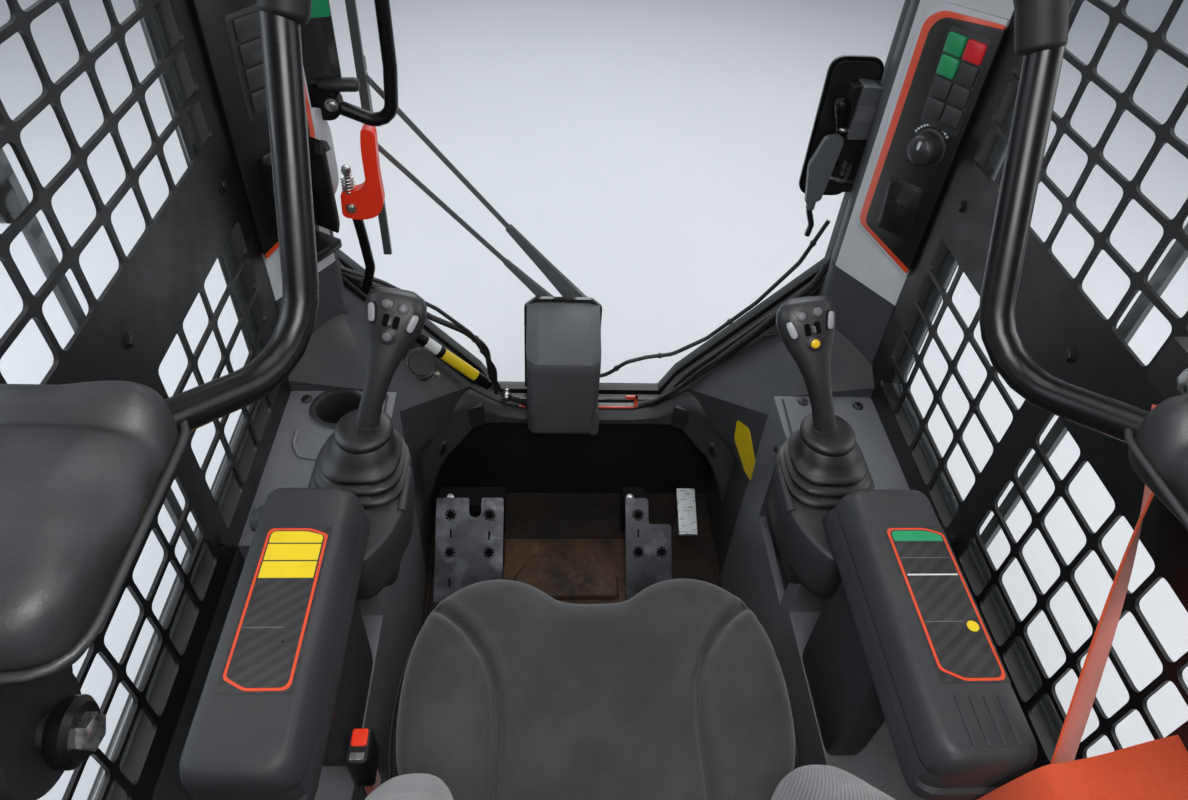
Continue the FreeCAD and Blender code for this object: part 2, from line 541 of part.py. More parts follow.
# Wiper motor cover inside the glass, wiper arms and blade outside it
cover_z = SILL_Z + SEAL + MOVE_GAP
cover_x0 = COVER_X - COVER_W / 2.0
cover = prism([(glass_y, cover_z), (glass_y, cover_z + COVER_H), (glass_y - 10.0, cover_z + COVER_H),
               (glass_y - COVER_D + 5.0, cover_z + COVER_FOLD), (glass_y - COVER_D, cover_z + COVER_FOLD - 12.0),
               (glass_y - COVER_D, cover_z)], "yz", cover_x0, cover_x0 + COVER_W)
parts["wiper_cover"] = soften(cover, 14.0, Y)
outer = glass_y + GLASS_T
spindle_x = COVER_X + 8.0
spindle_z = cover_z + COVER_H - 20.0
blade_x = spindle_x - WIPER_REACH
margin = WIPER_GAP + 16.0
wiper = block(spindle_x - margin, spindle_x + margin, outer, outer + 7.0, spindle_z - 14.0, spindle_z + 14.0)
for dx, rise in ((-WIPER_GAP, 0.0), (WIPER_GAP, WIPER_STEP)):
    top = (blade_x, outer + 13.0, spindle_z + WIPER_RISE + rise)
    wiper = wiper.fuse(Part.makeCylinder(10.0, 18.0, V(spindle_x + dx, outer, spindle_z), Y))
    wiper = wiper.fuse(rod((spindle_x + dx, outer + 13.0, spindle_z), top, 4.0))
carrier = (spindle_z + WIPER_RISE - 20.0, spindle_z + WIPER_RISE + WIPER_STEP + 20.0)
parts["wiper_arms"] = wiper.fuse(block(blade_x - 6.0, blade_x + 6.0, outer + 8.0, outer + 18.0, *carrier))
blade_mid = (carrier[0] + carrier[1]) / 2.0
parts["wiper_blade"] = block(blade_x - 6.0, blade_x + 6.0, outer, outer + 8.0, blade_mid - BLADE_L / 2.0,
                             blade_mid + BLADE_L / 2.0)
latch_x = OPEN_HALF - SEAL - MOVE_GAP
latch_z = KNEE_Z + LATCH_Z
latch = block(latch_x - LATCH_W, latch_x, glass_y - 10.0, glass_y, latch_z, latch_z + LATCH_H)
latch = soften(latch, 14.0, Y)
body_z = (latch_z + 20.0, latch_z + LATCH_H - 20.0)
body = block(latch_x - 50.0, latch_x - 4.0, glass_y - LATCH_D, glass_y - 10.0, *body_z)
parts["door_latch"] = latch.fuse(soften(body, 8.0, Y)).removeSplitter()

# Seat bar: tube, pads, arms, and the brackets on the walls
right = [(PAD_X0 + 14.0, PAD_Y1, PAD_Z0 + PAD_T / 2.0), (PAD_X0 - 35.0, PAD_Y1 + 71.0, PIVOT_Z + 71.0)]
right += [(PAD_X0 - 36.0, PAD_Y1 + 159.0, PIVOT_Z + 252.0), (PAD_X0 - 126.0, PAD_Y1 + 280.0, PIVOT_Z + 416.0)]
path = right + [(-x, y, z) for x, y, z in reversed(right)]
pad = soften(block(PAD_X0, PAD_X0 + PAD_W, PAD_Y0, PAD_Y1, PAD_Z0, PAD_Z0 + PAD_T), 12.0, Z)
around = block(PAD_X0 - 60.0, PAD_X0 + PAD_W, PAD_Y0, PAD_Y1, PAD_Z0 - 60.0, PAD_Z0 + PAD_T + 60.0)
parts["bar_tube"] = bent_tube(path, BAR_R, BAR_BEND).cut(both(around))
web = [(PIVOT_Y - HUB_R, PIVOT_Z), (PIVOT_Y + HUB_R, PIVOT_Z), (PAD_Y1 - 40.0, PAD_Z0), (PAD_Y0 + 20.0, PAD_Z0)]
hub = V(BAR_ARM_X, PIVOT_Y, PIVOT_Z)
arm = Part.makeCylinder(HUB_R, ARM_PLATE, hub, X).fuse(prism(web, "yz", BAR_ARM_X, BAR_ARM_X + ARM_PLATE))
arm = arm.cut(Part.makeCylinder(PIVOT_R + RUN, ARM_PLATE, hub, X))
parts["bar_arms"] = both(arm.removeSplitter())
boss_x = BAR_ARM_X + ARM_PLATE + 6.0
mount = Part.makeCylinder(BOSS_R, IN_X - boss_x, V(boss_x, PIVOT_Y, PIVOT_Z), X)
mount = mount.fuse(block(IN_X - 10.0, IN_X, PIVOT_Y - 45.0, PIVOT_Y + 45.0, PIVOT_Z - 50.0, PIVOT_Z + 50.0))
pin = Part.makeCylinder(PIVOT_R, IN_X - BAR_ARM_X + 8.0, V(BAR_ARM_X - 8.0, PIVOT_Y, PIVOT_Z), X)
parts["bar_pivots"] = both(mount.fuse(pin).removeSplitter())

# Pieces that come in a left and a right hand
hands = {"side_screen": screen, "sloping_trim": trim, "joystick": stick, "armrest": rest}
for name, shape in hands.items():
    parts[name + "_right"] = shape
    parts[name + "_left"] = other_side(shape)
pairs = {"side_panels": side, "quarters": quarter, "rear_pillars": rear_pillar, "front_pillars": pillar,
         "pillar_trims": post, "boots": boot, "bar_pads": pad}
for name, shape in pairs.items():
    parts[name] = both(shape)

for name, shape in parts.items():
    shape.exportStep("parts/" + name + ".step")
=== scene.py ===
import bmesh
import bpy
import math
from mathutils import Matrix, Vector
from mathutils.bvhtree import BVHTree


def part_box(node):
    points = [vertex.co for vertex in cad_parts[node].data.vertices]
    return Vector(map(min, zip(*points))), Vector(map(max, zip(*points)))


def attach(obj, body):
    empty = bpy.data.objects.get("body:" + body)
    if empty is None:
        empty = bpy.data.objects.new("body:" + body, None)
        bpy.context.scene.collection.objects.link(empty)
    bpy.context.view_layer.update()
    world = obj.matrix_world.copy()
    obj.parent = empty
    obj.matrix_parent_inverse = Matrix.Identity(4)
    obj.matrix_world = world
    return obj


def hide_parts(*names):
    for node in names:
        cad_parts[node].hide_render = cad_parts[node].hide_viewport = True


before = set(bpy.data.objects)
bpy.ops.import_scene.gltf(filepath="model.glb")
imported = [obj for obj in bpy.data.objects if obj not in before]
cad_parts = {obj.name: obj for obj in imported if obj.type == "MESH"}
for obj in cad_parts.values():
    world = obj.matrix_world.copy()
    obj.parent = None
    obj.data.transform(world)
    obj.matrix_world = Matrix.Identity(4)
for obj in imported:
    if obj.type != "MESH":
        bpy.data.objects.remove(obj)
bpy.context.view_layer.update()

# Lengths in this script are millimetres in the cab's own frame. Meshes are made in metres.
MM = 0.001
CAMERA_AT = (-71, -440, 1360)
PITCH, YAW, ROLL = 43.9, 5.45, 4.4
FOCAL_PX = 784.0
PHOTO_W = 1188.0
SENSOR = 36.0


def node_box(name):
    lo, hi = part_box(name)
    return Vector(lo) / MM, Vector(hi) / MM


def side_name(base, side):
    return base + ("_right" if side > 0 else "_left")


# Materials

class Shader:
    """A Principled material whose colour, roughness and bump are built from noise in object space."""

    def __init__(self, name, colour, rough=0.5, metallic=0.0, **sockets):
        self.mat = bpy.data.materials.new(name)
        self.mat.use_nodes = True
        self.tree = self.mat.node_tree
        self.bsdf = self.tree.nodes["Principled BSDF"]
        self.mat.diffuse_color = (*colour, 1.0)
        self.set("Base Color", (*colour, 1.0))
        self.set("Roughness", rough)
        self.set("Metallic", metallic)
        for key, value in sockets.items():
            self.set(key.replace("_", " "), value)
        self.colour = self.rgb(colour)
        self.place = self.add("ShaderNodeTexCoord").outputs["Object"]
        self.normal = None

    def set(self, socket, value):
        self.bsdf.inputs[socket].default_value = value

    def add(self, kind, **values):
        node = self.tree.nodes.new(kind)
        for key, value in values.items():
            setattr(node, key, value)
        return node

    def link(self, out, into):
        self.tree.links.new(out, into)

    def rgb(self, colour):
        node = self.add("ShaderNodeRGB")
        node.outputs[0].default_value = (*colour, 1.0)
        return node.outputs[0]

    def stretched(self, scale, turn=(0, 0, 0)):
        node = self.add("ShaderNodeMapping")
        node.inputs["Scale"].default_value = scale
        node.inputs["Rotation"].default_value = turn
        self.link(self.place, node.inputs["Vector"])
        return node.outputs[0]

    def noise(self, scale, detail=3.0, vector=None, rough=0.55):
        node = self.add("ShaderNodeTexNoise")
        node.inputs["Scale"].default_value = scale
        node.inputs["Detail"].default_value = detail
        node.inputs["Roughness"].default_value = rough
        self.link(vector or self.place, node.inputs["Vector"])
        return node.outputs["Fac"]

    def cells(self, scale, feature="F1"):
        node = self.add("ShaderNodeTexVoronoi", feature=feature)
        node.inputs["Scale"].default_value = scale
        self.link(self.place, node.inputs["Vector"])
        return node.outputs["Distance"]

    def wave(self, pitch, turn, rough=0.0):
        node = self.add("ShaderNodeTexWave", wave_type="BANDS", bands_direction="X", wave_profile="SIN")
        node.inputs["Scale"].default_value = math.pi / 10.0 / (pitch * MM)
        node.inputs["Distortion"].default_value = rough
        self.link(self.stretched((1, 1, 1), turn), node.inputs["Vector"])
        return node.outputs["Fac"]

    def range(self, value, low, high, to_low=0.0, to_high=1.0):
        node = self.add("ShaderNodeMapRange")
        for key, number in zip(("From Min", "From Max", "To Min", "To Max"), (low, high, to_low, to_high)):
            node.inputs[key].default_value = number
        self.link(value, node.inputs["Value"])
        return node.outputs[0]

    def maths(self, how, one, two):
        node = self.add("ShaderNodeMath", operation=how)
        for socket, value in zip(node.inputs, (one, two)):
            if isinstance(value, (int, float)):
                socket.default_value = value
            else:
                self.link(value, socket)
        return node.outputs[0]

    def tint(self, amount, colour):
        """Mixes another colour into the base where amount is high."""
        node = self.add("ShaderNodeMix", data_type="RGBA")
        self.link(amount, node.inputs["Factor"])
        self.link(self.colour, node.inputs["A"])
        node.inputs["B"].default_value = (*colour, 1.0)
        self.colour = node.outputs["Result"]
        return self

    def rough(self, value, low, high):
        self.link(self.range(value, 0.3, 0.7, low, high), self.bsdf.inputs["Roughness"])
        return self

    def bump(self, height, strength, depth=1.0):
        node = self.add("ShaderNodeBump")
        node.inputs["Strength"].default_value = strength
        node.inputs["Distance"].default_value = depth * MM
        self.link(height, node.inputs["Height"])
        if self.normal:
            self.link(self.normal, node.inputs["Normal"])
        self.normal = node.outputs[0]
        return self

    def facing_up(self):
        """1 where the surface faces up."""
        node = self.add("ShaderNodeSeparateXYZ")
        self.link(self.add("ShaderNodeNewGeometry").outputs["Normal"], node.inputs[0])
        return self.range(node.outputs["Z"], 0.2, 0.95)

    def dust(self, amount, colour=(0.2, 0.17, 0.14), scale=9.0):
        patches = self.range(self.noise(scale, 6.0, rough=0.7), 0.42, 0.72)
        return self.tint(self.maths("MULTIPLY", self.maths("MULTIPLY", patches, self.facing_up()), amount), colour)

    def done(self):
        self.link(self.colour, self.bsdf.inputs["Base Color"])
        if self.normal:
            self.link(self.normal, self.bsdf.inputs["Normal"])
        return self.mat


def lighter(colour, factor):
    return tuple(min(1.0, c * factor) for c in colour)


def plastic(name, colour, rough=0.5, grain=0.25, pitch=1.1, dust=0.1, **sockets):
    """Moulded plastic: fine leather-like grain, faint cloudy colour, dust on top."""
    s = Shader(name, colour, rough, **sockets)
    s.tint(s.range(s.noise(7.0, 5.0), 0.35, 0.75), lighter(colour, 1.35))
    s.rough(s.noise(16.0, 5.0), rough - 0.07, rough + 0.08)
    s.bump(s.cells(1.0 / (pitch * MM)), grain, 0.3)
    s.dust(dust)
    return s.done()


def speckled(name, colour, fleck):
    s = Shader(name, colour, 0.42)
    s.tint(s.range(s.noise(900.0, 2.0), 0.56, 0.7), fleck)
    s.tint(s.range(s.noise(5.0, 4.0), 0.4, 0.8, 0.0, 0.4), lighter(colour, 1.5))
    s.rough(s.noise(30.0, 4.0), 0.36, 0.5)
    s.bump(s.noise(700.0, 2.0), 0.25, 0.3)
    s.dust(0.12)
    return s.done()


def painted(name, colour, rough=0.35, dust=0.12, coat=0.3, shine=0.5):
    """Painted sheet steel: slight orange peel, small chips that show bare metal."""
    s = Shader(name, colour, rough, Coat_Weight=coat, Coat_Roughness=0.12 if coat > 0.2 else 0.35, Specular_IOR_Level=shine)
    s.tint(s.range(s.noise(5.0, 5.0), 0.4, 0.8, 0.0, 0.4), lighter(colour, 1.5))
    s.tint(s.range(s.noise(140.0, 6.0, rough=0.8), 0.76, 0.8), (0.16, 0.15, 0.14))
    s.rough(s.noise(22.0, 5.0), rough - 0.08, rough + 0.14)
    s.bump(s.noise(160.0, 2.0), 0.06, 0.6)
    s.dust(dust)
    return s.done()


def metal(name, colour, rough=0.3, stretch=(40, 900, 40), scuffs=0.4, smear=1.8):
    s = Shader(name, colour, rough, 1.0)
    s.tint(s.range(s.noise(18.0, 6.0, rough=0.7), 0.45, 0.75, 0.0, scuffs), lighter(colour, 0.35))
    s.tint(s.range(s.noise(13.0, 6.0), 0.5, 0.75, 0.0, scuffs), lighter(colour, smear))
    s.rough(s.noise(1.0, 3.0, s.stretched(stretch)), rough - 0.08, rough + 0.16)
    s.bump(s.noise(1.0, 3.0, s.stretched(stretch)), 0.08, 0.2)
    return s.done()


def cloth(name, dark, light, pitch=2.3, sheen=0.35):
    """Twill: slanting ribs crossed by single threads, with faded patches."""
    s = Shader(name, dark, 0.9, Sheen_Weight=sheen, Sheen_Roughness=0.4)
    rib = s.wave(pitch, (0, 0, math.radians(32)), 0.6)
    thread = s.wave(pitch * 0.55, (0.6, 0, math.radians(-58)), 0.4)
    weave = s.maths("MULTIPLY", rib, s.range(thread, 0.0, 1.0, 0.45, 1.0))
    s.tint(s.range(weave, 0.25, 0.9), light)
    s.tint(s.range(s.noise(11.0, 6.0), 0.45, 0.8, 0.0, 0.35), lighter(light, 1.3))
    s.bump(weave, 0.55, 0.7)
    s.bump(s.noise(24.0, 3.0), 0.12, 3.0)
    s.dust(0.05, (0.3, 0.28, 0.26))
    return s.done()


def vinyl(name, colour):
    s = Shader(name, colour, 0.5, Coat_Weight=0.05, Coat_Roughness=0.4)
    s.tint(s.range(s.noise(13.0, 6.0, rough=0.65), 0.42, 0.75, 0.0, 0.8), lighter(colour, 2.6))
    s.rough(s.noise(30.0, 5.0), 0.42, 0.66)
    s.bump(s.cells(620.0, "DISTANCE_TO_EDGE"), 0.35, 0.4)
    s.bump(s.noise(40.0, 4.0), 0.2, 1.5)
    s.dust(0.14, (0.14, 0.14, 0.15), 14.0)
    return s.done()


def glass(name, tint, alpha):
    s = Shader(name, tint, 0.04, IOR=1.45, Alpha=alpha)
    s.tint(s.range(s.noise(4.0, 5.0), 0.5, 0.8, 0.0, 0.5), lighter(tint, 1.3))
    s.rough(s.noise(9.0, 5.0), 0.02, 0.09)
    mat = s.done()
    mat.surface_render_method = "BLENDED"
    return mat


def floor_rubber(name, base, earth):
    """Black floor plate with trodden brown earth, as much of it as earth says."""
    s = Shader(name, base, 0.62)
    s.tint(s.range(s.noise(7.0, 8.0, rough=0.72), 0.36, 0.62, 0.0, earth), (0.13, 0.072, 0.038))
    s.tint(s.range(s.noise(34.0, 8.0, rough=0.75), 0.52, 0.72, 0.0, 0.7 * earth), (0.24, 0.155, 0.1))
    s.rough(s.noise(26.0, 6.0), 0.5, 0.86)
    s.bump(s.noise(180.0, 6.0), 0.5, 1.2)
    return s.done()


def webbing(name, colour):
    s = Shader(name, colour, 0.7, Sheen_Weight=0.3)
    rib = s.wave(1.6, (0.5, 0.3, 0.0))
    s.tint(s.range(rib, 0.2, 0.8, 0.0, 0.6), lighter(colour, 0.55))
    s.bump(rib, 0.5, 0.5)
    s.bump(s.noise(500.0, 3.0), 0.2, 0.4)
    s.dust(0.08)
    return s.done()


def printed(name, colour, stripes=None, rough=0.35):
    """A blank label: flat print under a clear film, with faint slanting stripes where it has them."""
    s = Shader(name, colour, rough, Coat_Weight=0.4, Coat_Roughness=0.15)
    if stripes:
        band = s.wave(11.0, (0, 0, math.radians(52)), 0.3)
        s.tint(s.range(band, 0.3, 0.8, 0.0, 0.5), stripes)
    s.tint(s.range(s.noise(60.0, 6.0), 0.55, 0.8, 0.0, 0.3), lighter(colour, 0.6))
    s.rough(s.noise(40.0, 4.0), rough - 0.08, rough + 0.12)
    s.dust(0.08)
    return s.done()


LOOK = {
    "frame": painted("frame_paint", (0.011, 0.0115, 0.013), 0.44, 0.1, 0.08, 0.3),
    "mesh": painted("mesh_paint", (0.005, 0.0052, 0.006), 0.4, 0.06, 0.08, 0.3),
    "shell": painted("shell_paint", (0.04, 0.042, 0.045), 0.5, 0.08, 0.04, 0.25),
    "gloss": painted("gloss_black", (0.003, 0.003, 0.0035), 0.26, 0.01, 0.14, 0.2),
    # Near-black look: painted shade laid as flat sheets where holes, slots and gaps under plates would show dark;
    # nothing is cut.
    "hole_shade": plastic("painted_hole_shade", (0.0015, 0.0015, 0.0016), 0.8, 0.05, 1.0, 0.0, Specular_IOR_Level=0.1),
    "trim": plastic("trim_charcoal", (0.04, 0.042, 0.046), 0.5, 0.3, Specular_IOR_Level=0.35),
    "trim_top": plastic("trim_slate", (0.07, 0.074, 0.082), 0.46, 0.3),
    "shelf": speckled("shelf_silver_grey", (0.125, 0.13, 0.14), (0.4, 0.41, 0.43)),
    "arm": plastic("armrest_charcoal", (0.029, 0.0305, 0.0335), 0.5, 0.3, 1.3, 0.08, Specular_IOR_Level=0.35),
    "grip": plastic("grip_black", (0.017, 0.0175, 0.019), 0.42, 0.2, 0.9, 0.05),
    "cover": plastic("cover_grey", (0.075, 0.08, 0.086), 0.44, 0.2, 1.0, 0.06),
    "pale": plastic("pillar_pale_grey", (0.46, 0.475, 0.495), 0.42, 0.25, 1.0, 0.05),
    "sleeve": plastic("sleeve_black", (0.006, 0.006, 0.0065), 0.55, 0.12, 1.0, 0.02, Specular_IOR_Level=0.2),
    "rubber": plastic("bellows_rubber", (0.0065, 0.0066, 0.007), 0.45, 0.12, 0.7, 0.03),
    "cable": plastic("cable_sleeve", (0.011, 0.011, 0.012), 0.45, 0.5, 2.2, 0.05),
    "seal": plastic("seal_rubber", (0.006, 0.0065, 0.007), 0.3, 0.05, 1.5, 0.05, Coat_Weight=0.6),
    "panel": plastic("panel_black", (0.0075, 0.0075, 0.008), 0.36, 0.08, 1.0, 0.04),
    "key": plastic("key_charcoal", (0.022, 0.0225, 0.024), 0.5, 0.15, 0.8, 0.05),
    "button": plastic("button_grey", (0.1, 0.103, 0.11), 0.45, 0.1, 0.8, 0.05),
    "rocker": plastic("rocker_grey", (0.3, 0.305, 0.32), 0.36, 0.05, 0.8, 0.02),
    "cloth": cloth("seat_cloth_charcoal", (0.026, 0.026, 0.027), (0.095, 0.095, 0.1)),
    "cloth_pale": cloth("seat_cloth_grey", (0.13, 0.13, 0.135), (0.26, 0.26, 0.27)),
    "vinyl": vinyl("pad_vinyl", (0.014, 0.0145, 0.016)),
    "glass": glass("window_glass", (0.62, 0.7, 0.71), 0.1),
    "smoke": glass("smoke_tint", (0.02, 0.019, 0.018), 0.9),
    "floor": floor_rubber("floor_earth", (0.03, 0.021, 0.015), 1.0),
    "mat": floor_rubber("floor_mat", (0.009, 0.008, 0.0075), 0.14),
    "plate": metal("foot_plate_steel", (0.052, 0.054, 0.06), 0.34, (60, 500, 60), 0.7, 4.0),
    "bright": metal("bright_steel", (0.68, 0.7, 0.72), 0.3, (60, 400, 60), 0.04),
    "chrome": metal("bolt_zinc", (0.5, 0.5, 0.49), 0.26, (200, 200, 200), 0.3),
    "belt": webbing("belt_orange", (0.72, 0.075, 0.012)),
    "orange": printed("print_orange_red", (0.74, 0.07, 0.02)),
    "red": plastic("lever_red", (0.9, 0.035, 0.008), 0.36, 0.15, 1.2, 0.04),
    "red_key": plastic("key_red", (0.55, 0.012, 0.02), 0.36, 0.1, 1.0, 0.03),
    "green_key": plastic("key_green", (0.012, 0.24, 0.09), 0.36, 0.1, 1.0, 0.03),
    "yellow": printed("print_yellow", (0.82, 0.6, 0.012)),
    "green": printed("print_green", (0.015, 0.3, 0.12)),
    "white": printed("print_white", (0.72, 0.73, 0.73)),
    "black": printed("print_black", (0.02, 0.02, 0.021), (0.045, 0.045, 0.047)),
    "yellow_button": plastic("button_yellow", (0.75, 0.45, 0.01), 0.35, 0.1, 1.0, 0.02),
    "lens": glass("lamp_lens", (0.85, 0.87, 0.9), 0.35),
    "mirror": metal("lamp_reflector", (0.85, 0.86, 0.87), 0.12, (200, 200, 200), 0.1),
}


# Mesh tools

def shade(obj, limit=32.0):
    """Smooth shading with sharp edges where the surface turns more than limit degrees."""
    mesh = obj.data
    work = bmesh.new()
    work.from_mesh(mesh)
    for face in work.faces:
        face.smooth = True
    for edge in work.edges:
        if len(edge.link_faces) == 2 and edge.calc_face_angle(0.0) > math.radians(limit):
            edge.smooth = False
    work.to_mesh(mesh)
    work.free()


def soften(obj, width, segments=3, limit=32.0):
    mod = obj.modifiers.new("soft_edges", "BEVEL")
    mod.width = width * MM
    mod.segments = segments
    mod.limit_method = "ANGLE"
    mod.angle_limit = math.radians(limit)
    mod.harden_normals = True
    for polygon in obj.data.polygons:
        polygon.use_smooth = True
    return obj


def piece(name, verts, faces, look, body="cab", slot=None, replaces=(), edge=0.0, smooth=32.0, marks=None):
    """One piece from vertices in millimetres. look is one key of LOOK or several, with marks per face."""
    mesh = bpy.data.meshes.new(name)
    mesh.from_pydata([Vector(v) * MM for v in verts], [], faces)
    work = bmesh.new()
    work.from_mesh(mesh)
    if marks is None:
        bmesh.ops.remove_doubles(work, verts=work.verts, dist=0.00001)
    bmesh.ops.recalc_face_normals(work, faces=work.faces)
    work.to_mesh(mesh)
    work.free()
    obj = bpy.data.objects.new(name, mesh)
    bpy.context.collection.objects.link(obj)
    for key in ([look] if isinstance(look, str) else look):
        mesh.materials.append(LOOK[key])
    if marks:
        for polygon, mark in zip(mesh.polygons, marks):
            polygon.material_index = mark
    if edge:
        soften(obj, edge, limit=smooth)
    else:
        shade(obj, smooth)
    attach(obj, body)
    if replaces:
        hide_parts(*([replaces] if isinstance(replaces, str) else replaces))
    return obj


class Heap:
    """Collects the vertices and faces of several closed forms into one piece."""

    def __init__(self):
        self.verts = []
        self.faces = []
        self.marks = []

    def add(self, verts, faces, mark=0):
        start = len(self.verts)
        self.verts += [tuple(v) for v in verts]
        self.faces += [tuple(i + start for i in face) for face in faces]
        self.marks += [mark] * len(faces)
        return self

    def mirrored(self):
        other = Heap()
        other.verts = [(-x, y, z) for x, y, z in self.verts]
        other.faces = [tuple(reversed(face)) for face in self.faces]
        other.marks = list(self.marks)
        return other

    def make(self, name, look, **options):
        marks = self.marks if not isinstance(look, str) else None
        return piece(name, self.verts, self.faces, look, marks=marks, **options)


def box(lo, hi):
    x, y, z = zip(lo, hi)
    verts = [(x[i], y[j], z[k]) for k in (0, 1) for j in (0, 1) for i in (0, 1)]
    return verts, [(0, 2, 3, 1), (4, 5, 7, 6), (0, 1, 5, 4), (2, 6, 7, 3), (0, 4, 6, 2), (1, 3, 7, 5)]


def loft(rings, closed=False):
    """Skin over rings with equal counts, with flat ends unless the rings close on themselves."""
    count = len(rings[0])
    verts = [p for ring in rings for p in ring]
    spans = len(rings) if closed else len(rings) - 1
    faces = []
    for r in range(spans):
        a, b = r * count, (r + 1) % len(rings) * count
        faces += [(a + i, a + (i + 1) % count, b + (i + 1) % count, b + i) for i in range(count)]
    if not closed:
        faces += [tuple(reversed(range(count))), tuple(range(len(verts) - count, len(verts)))]
    return verts, faces


def lifted(outline, low, high, lift):
    """A closed slab: the outline placed by lift(a, b, height) at two heights."""
    return loft([[lift(a, b, h) for a, b in outline] for h in (low, high)])


def rounded(corners, radius, steps=4):
    """A 2D outline with every corner rounded, radius being one number or one for each corner."""
    result = []
    count = len(corners)
    radii = radius if isinstance(radius, (list, tuple)) else [radius] * count
    for index in range(count):
        back, here, ahead = (Vector(corners[(index + k) % count]) for k in (-1, 0, 1))
        one, two = (back - here), (ahead - here)
        reach = min(radii[index], one.length * 0.49, two.length * 0.49)
        start, end = here + one.normalized() * reach, here + two.normalized() * reach
        if reach < 0.01:
            result.append(tuple(here))
            continue
        for step in range(steps + 1):
            t = step / steps
            result.append(tuple(start * (1 - t) ** 2 + here * 2 * t * (1 - t) + end * t ** 2))
    return result


def oval(a, b, power=2.0, count=32):
    points = []
    for i in range(count):
        angle = 2 * math.pi * i / count
        c, s = math.cos(angle), math.sin(angle)
        points.append((a * math.copysign(abs(c) ** (2 / power), c), b * math.copysign(abs(s) ** (2 / power), s)))
    return points


def turned(profile, origin, axis, count=32):
    """A lathed form: profile of (radius, height) along axis from origin."""
    axis = Vector(axis).normalized()
    side = axis.orthogonal().normalized()
    across = axis.cross(side)
    rings = []
    for radius, height in profile:
        hub = Vector(origin) + axis * height
        rings.append([hub + (side * math.cos(t) + across * math.sin(t)) * max(radius, 0.05)
                      for t in (2 * math.pi * i / count for i in range(count))])
    return loft(rings)


def bends(points, radius, steps=6):
    """The route with every corner replaced by an arc of the given radius."""
    path = [Vector(points[0])]
    for back, here, ahead in zip(points, points[1:], points[2:]):
        back, here, ahead = Vector(back), Vector(here), Vector(ahead)
        one, two = (back - here).normalized(), (ahead - here).normalized()
        half = one.angle(two) / 2.0
        reach = min(radius / math.tan(half), (back - here).length * 0.49, (ahead - here).length * 0.49)
        hub = here + (one + two).normalized() * (reach / math.cos(half))
        start, end = here + one * reach, here + two * reach
        for step in range(steps + 1):
            arm = (start - hub).lerp(end - hub, step / steps).normalized() * (start - hub).length
            path.append(hub + arm)
    return path + [Vector(points[-1])]


def tube(points, radius, bend=0.0, count=20, shape=None):
    """A tube of constant section along a route, carried along without twist."""
    path = bends(points, bend) if bend else [Vector(p) for p in points]
    outline = shape or oval(radius, radius, 2.0, count)
    rings = []
    ahead = (path[1] - path[0]).normalized()
    side = ahead.orthogonal().normalized()
    for index, hub in enumerate(path):
        one = path[min(index + 1, len(path) - 1)] - hub
        two = hub - path[max(index - 1, 0)]
        ahead = (one.normalized() + two.normalized()).normalized()
        side = (side - ahead * side.dot(ahead)).normalized()
        across = ahead.cross(side)
        rings.append([hub + side * a + across * b for a, b in outline])
    return loft(rings)


def bolt(heap, at, axis, radius=7.0, height=5.0, mark=0):
    """A flanged hexagon head."""
    heap.add(*turned([(radius * 1.25, 0), (radius * 1.25, 1.4), (radius, 1.8)], at, axis, 20), mark)
    heap.add(*turned([(radius, 1.6), (radius, height - 0.8), (radius * 0.86, height)], at, axis, 6), mark)
    return heap


# Camera, floor and light

def make_camera():
    p, y, r = (math.radians(v) for v in (PITCH, YAW, ROLL))
    ahead = Vector((math.sin(y) * math.cos(p), math.cos(y) * math.cos(p), -math.sin(p)))
    right = Vector((math.cos(y), -math.sin(y), 0.0))
    up = right.cross(ahead)
    axes = (right * math.cos(r) + up * math.sin(r), up * math.cos(r) - right * math.sin(r), -ahead)
    data = bpy.data.cameras.new("operator_eye")
    data.sensor_fit = "HORIZONTAL"
    data.sensor_width = SENSOR
    data.lens = SENSOR * FOCAL_PX / PHOTO_W
    data.clip_start = 0.02
    camera = bpy.data.objects.new("operator_eye", data)
    camera.matrix_world = Matrix(axes).transposed().to_4x4()
    camera.location = Vector(CAMERA_AT) * MM
    bpy.context.collection.objects.link(camera)
    bpy.context.scene.camera = camera


def area_light(name, at, aim, size, power, colour=(1, 1, 1)):
    data = bpy.data.lights.new(name, "AREA")
    data.size = size
    data.energy = power
    data.color = colour
    light = bpy.data.objects.new(name, data)
    light.location = Vector(at)
    light.rotation_mode = "QUATERNION"
    light.rotation_quaternion = (Vector(aim) - Vector(at)).to_track_quat("-Z", "Y")
    bpy.context.collection.objects.link(light)


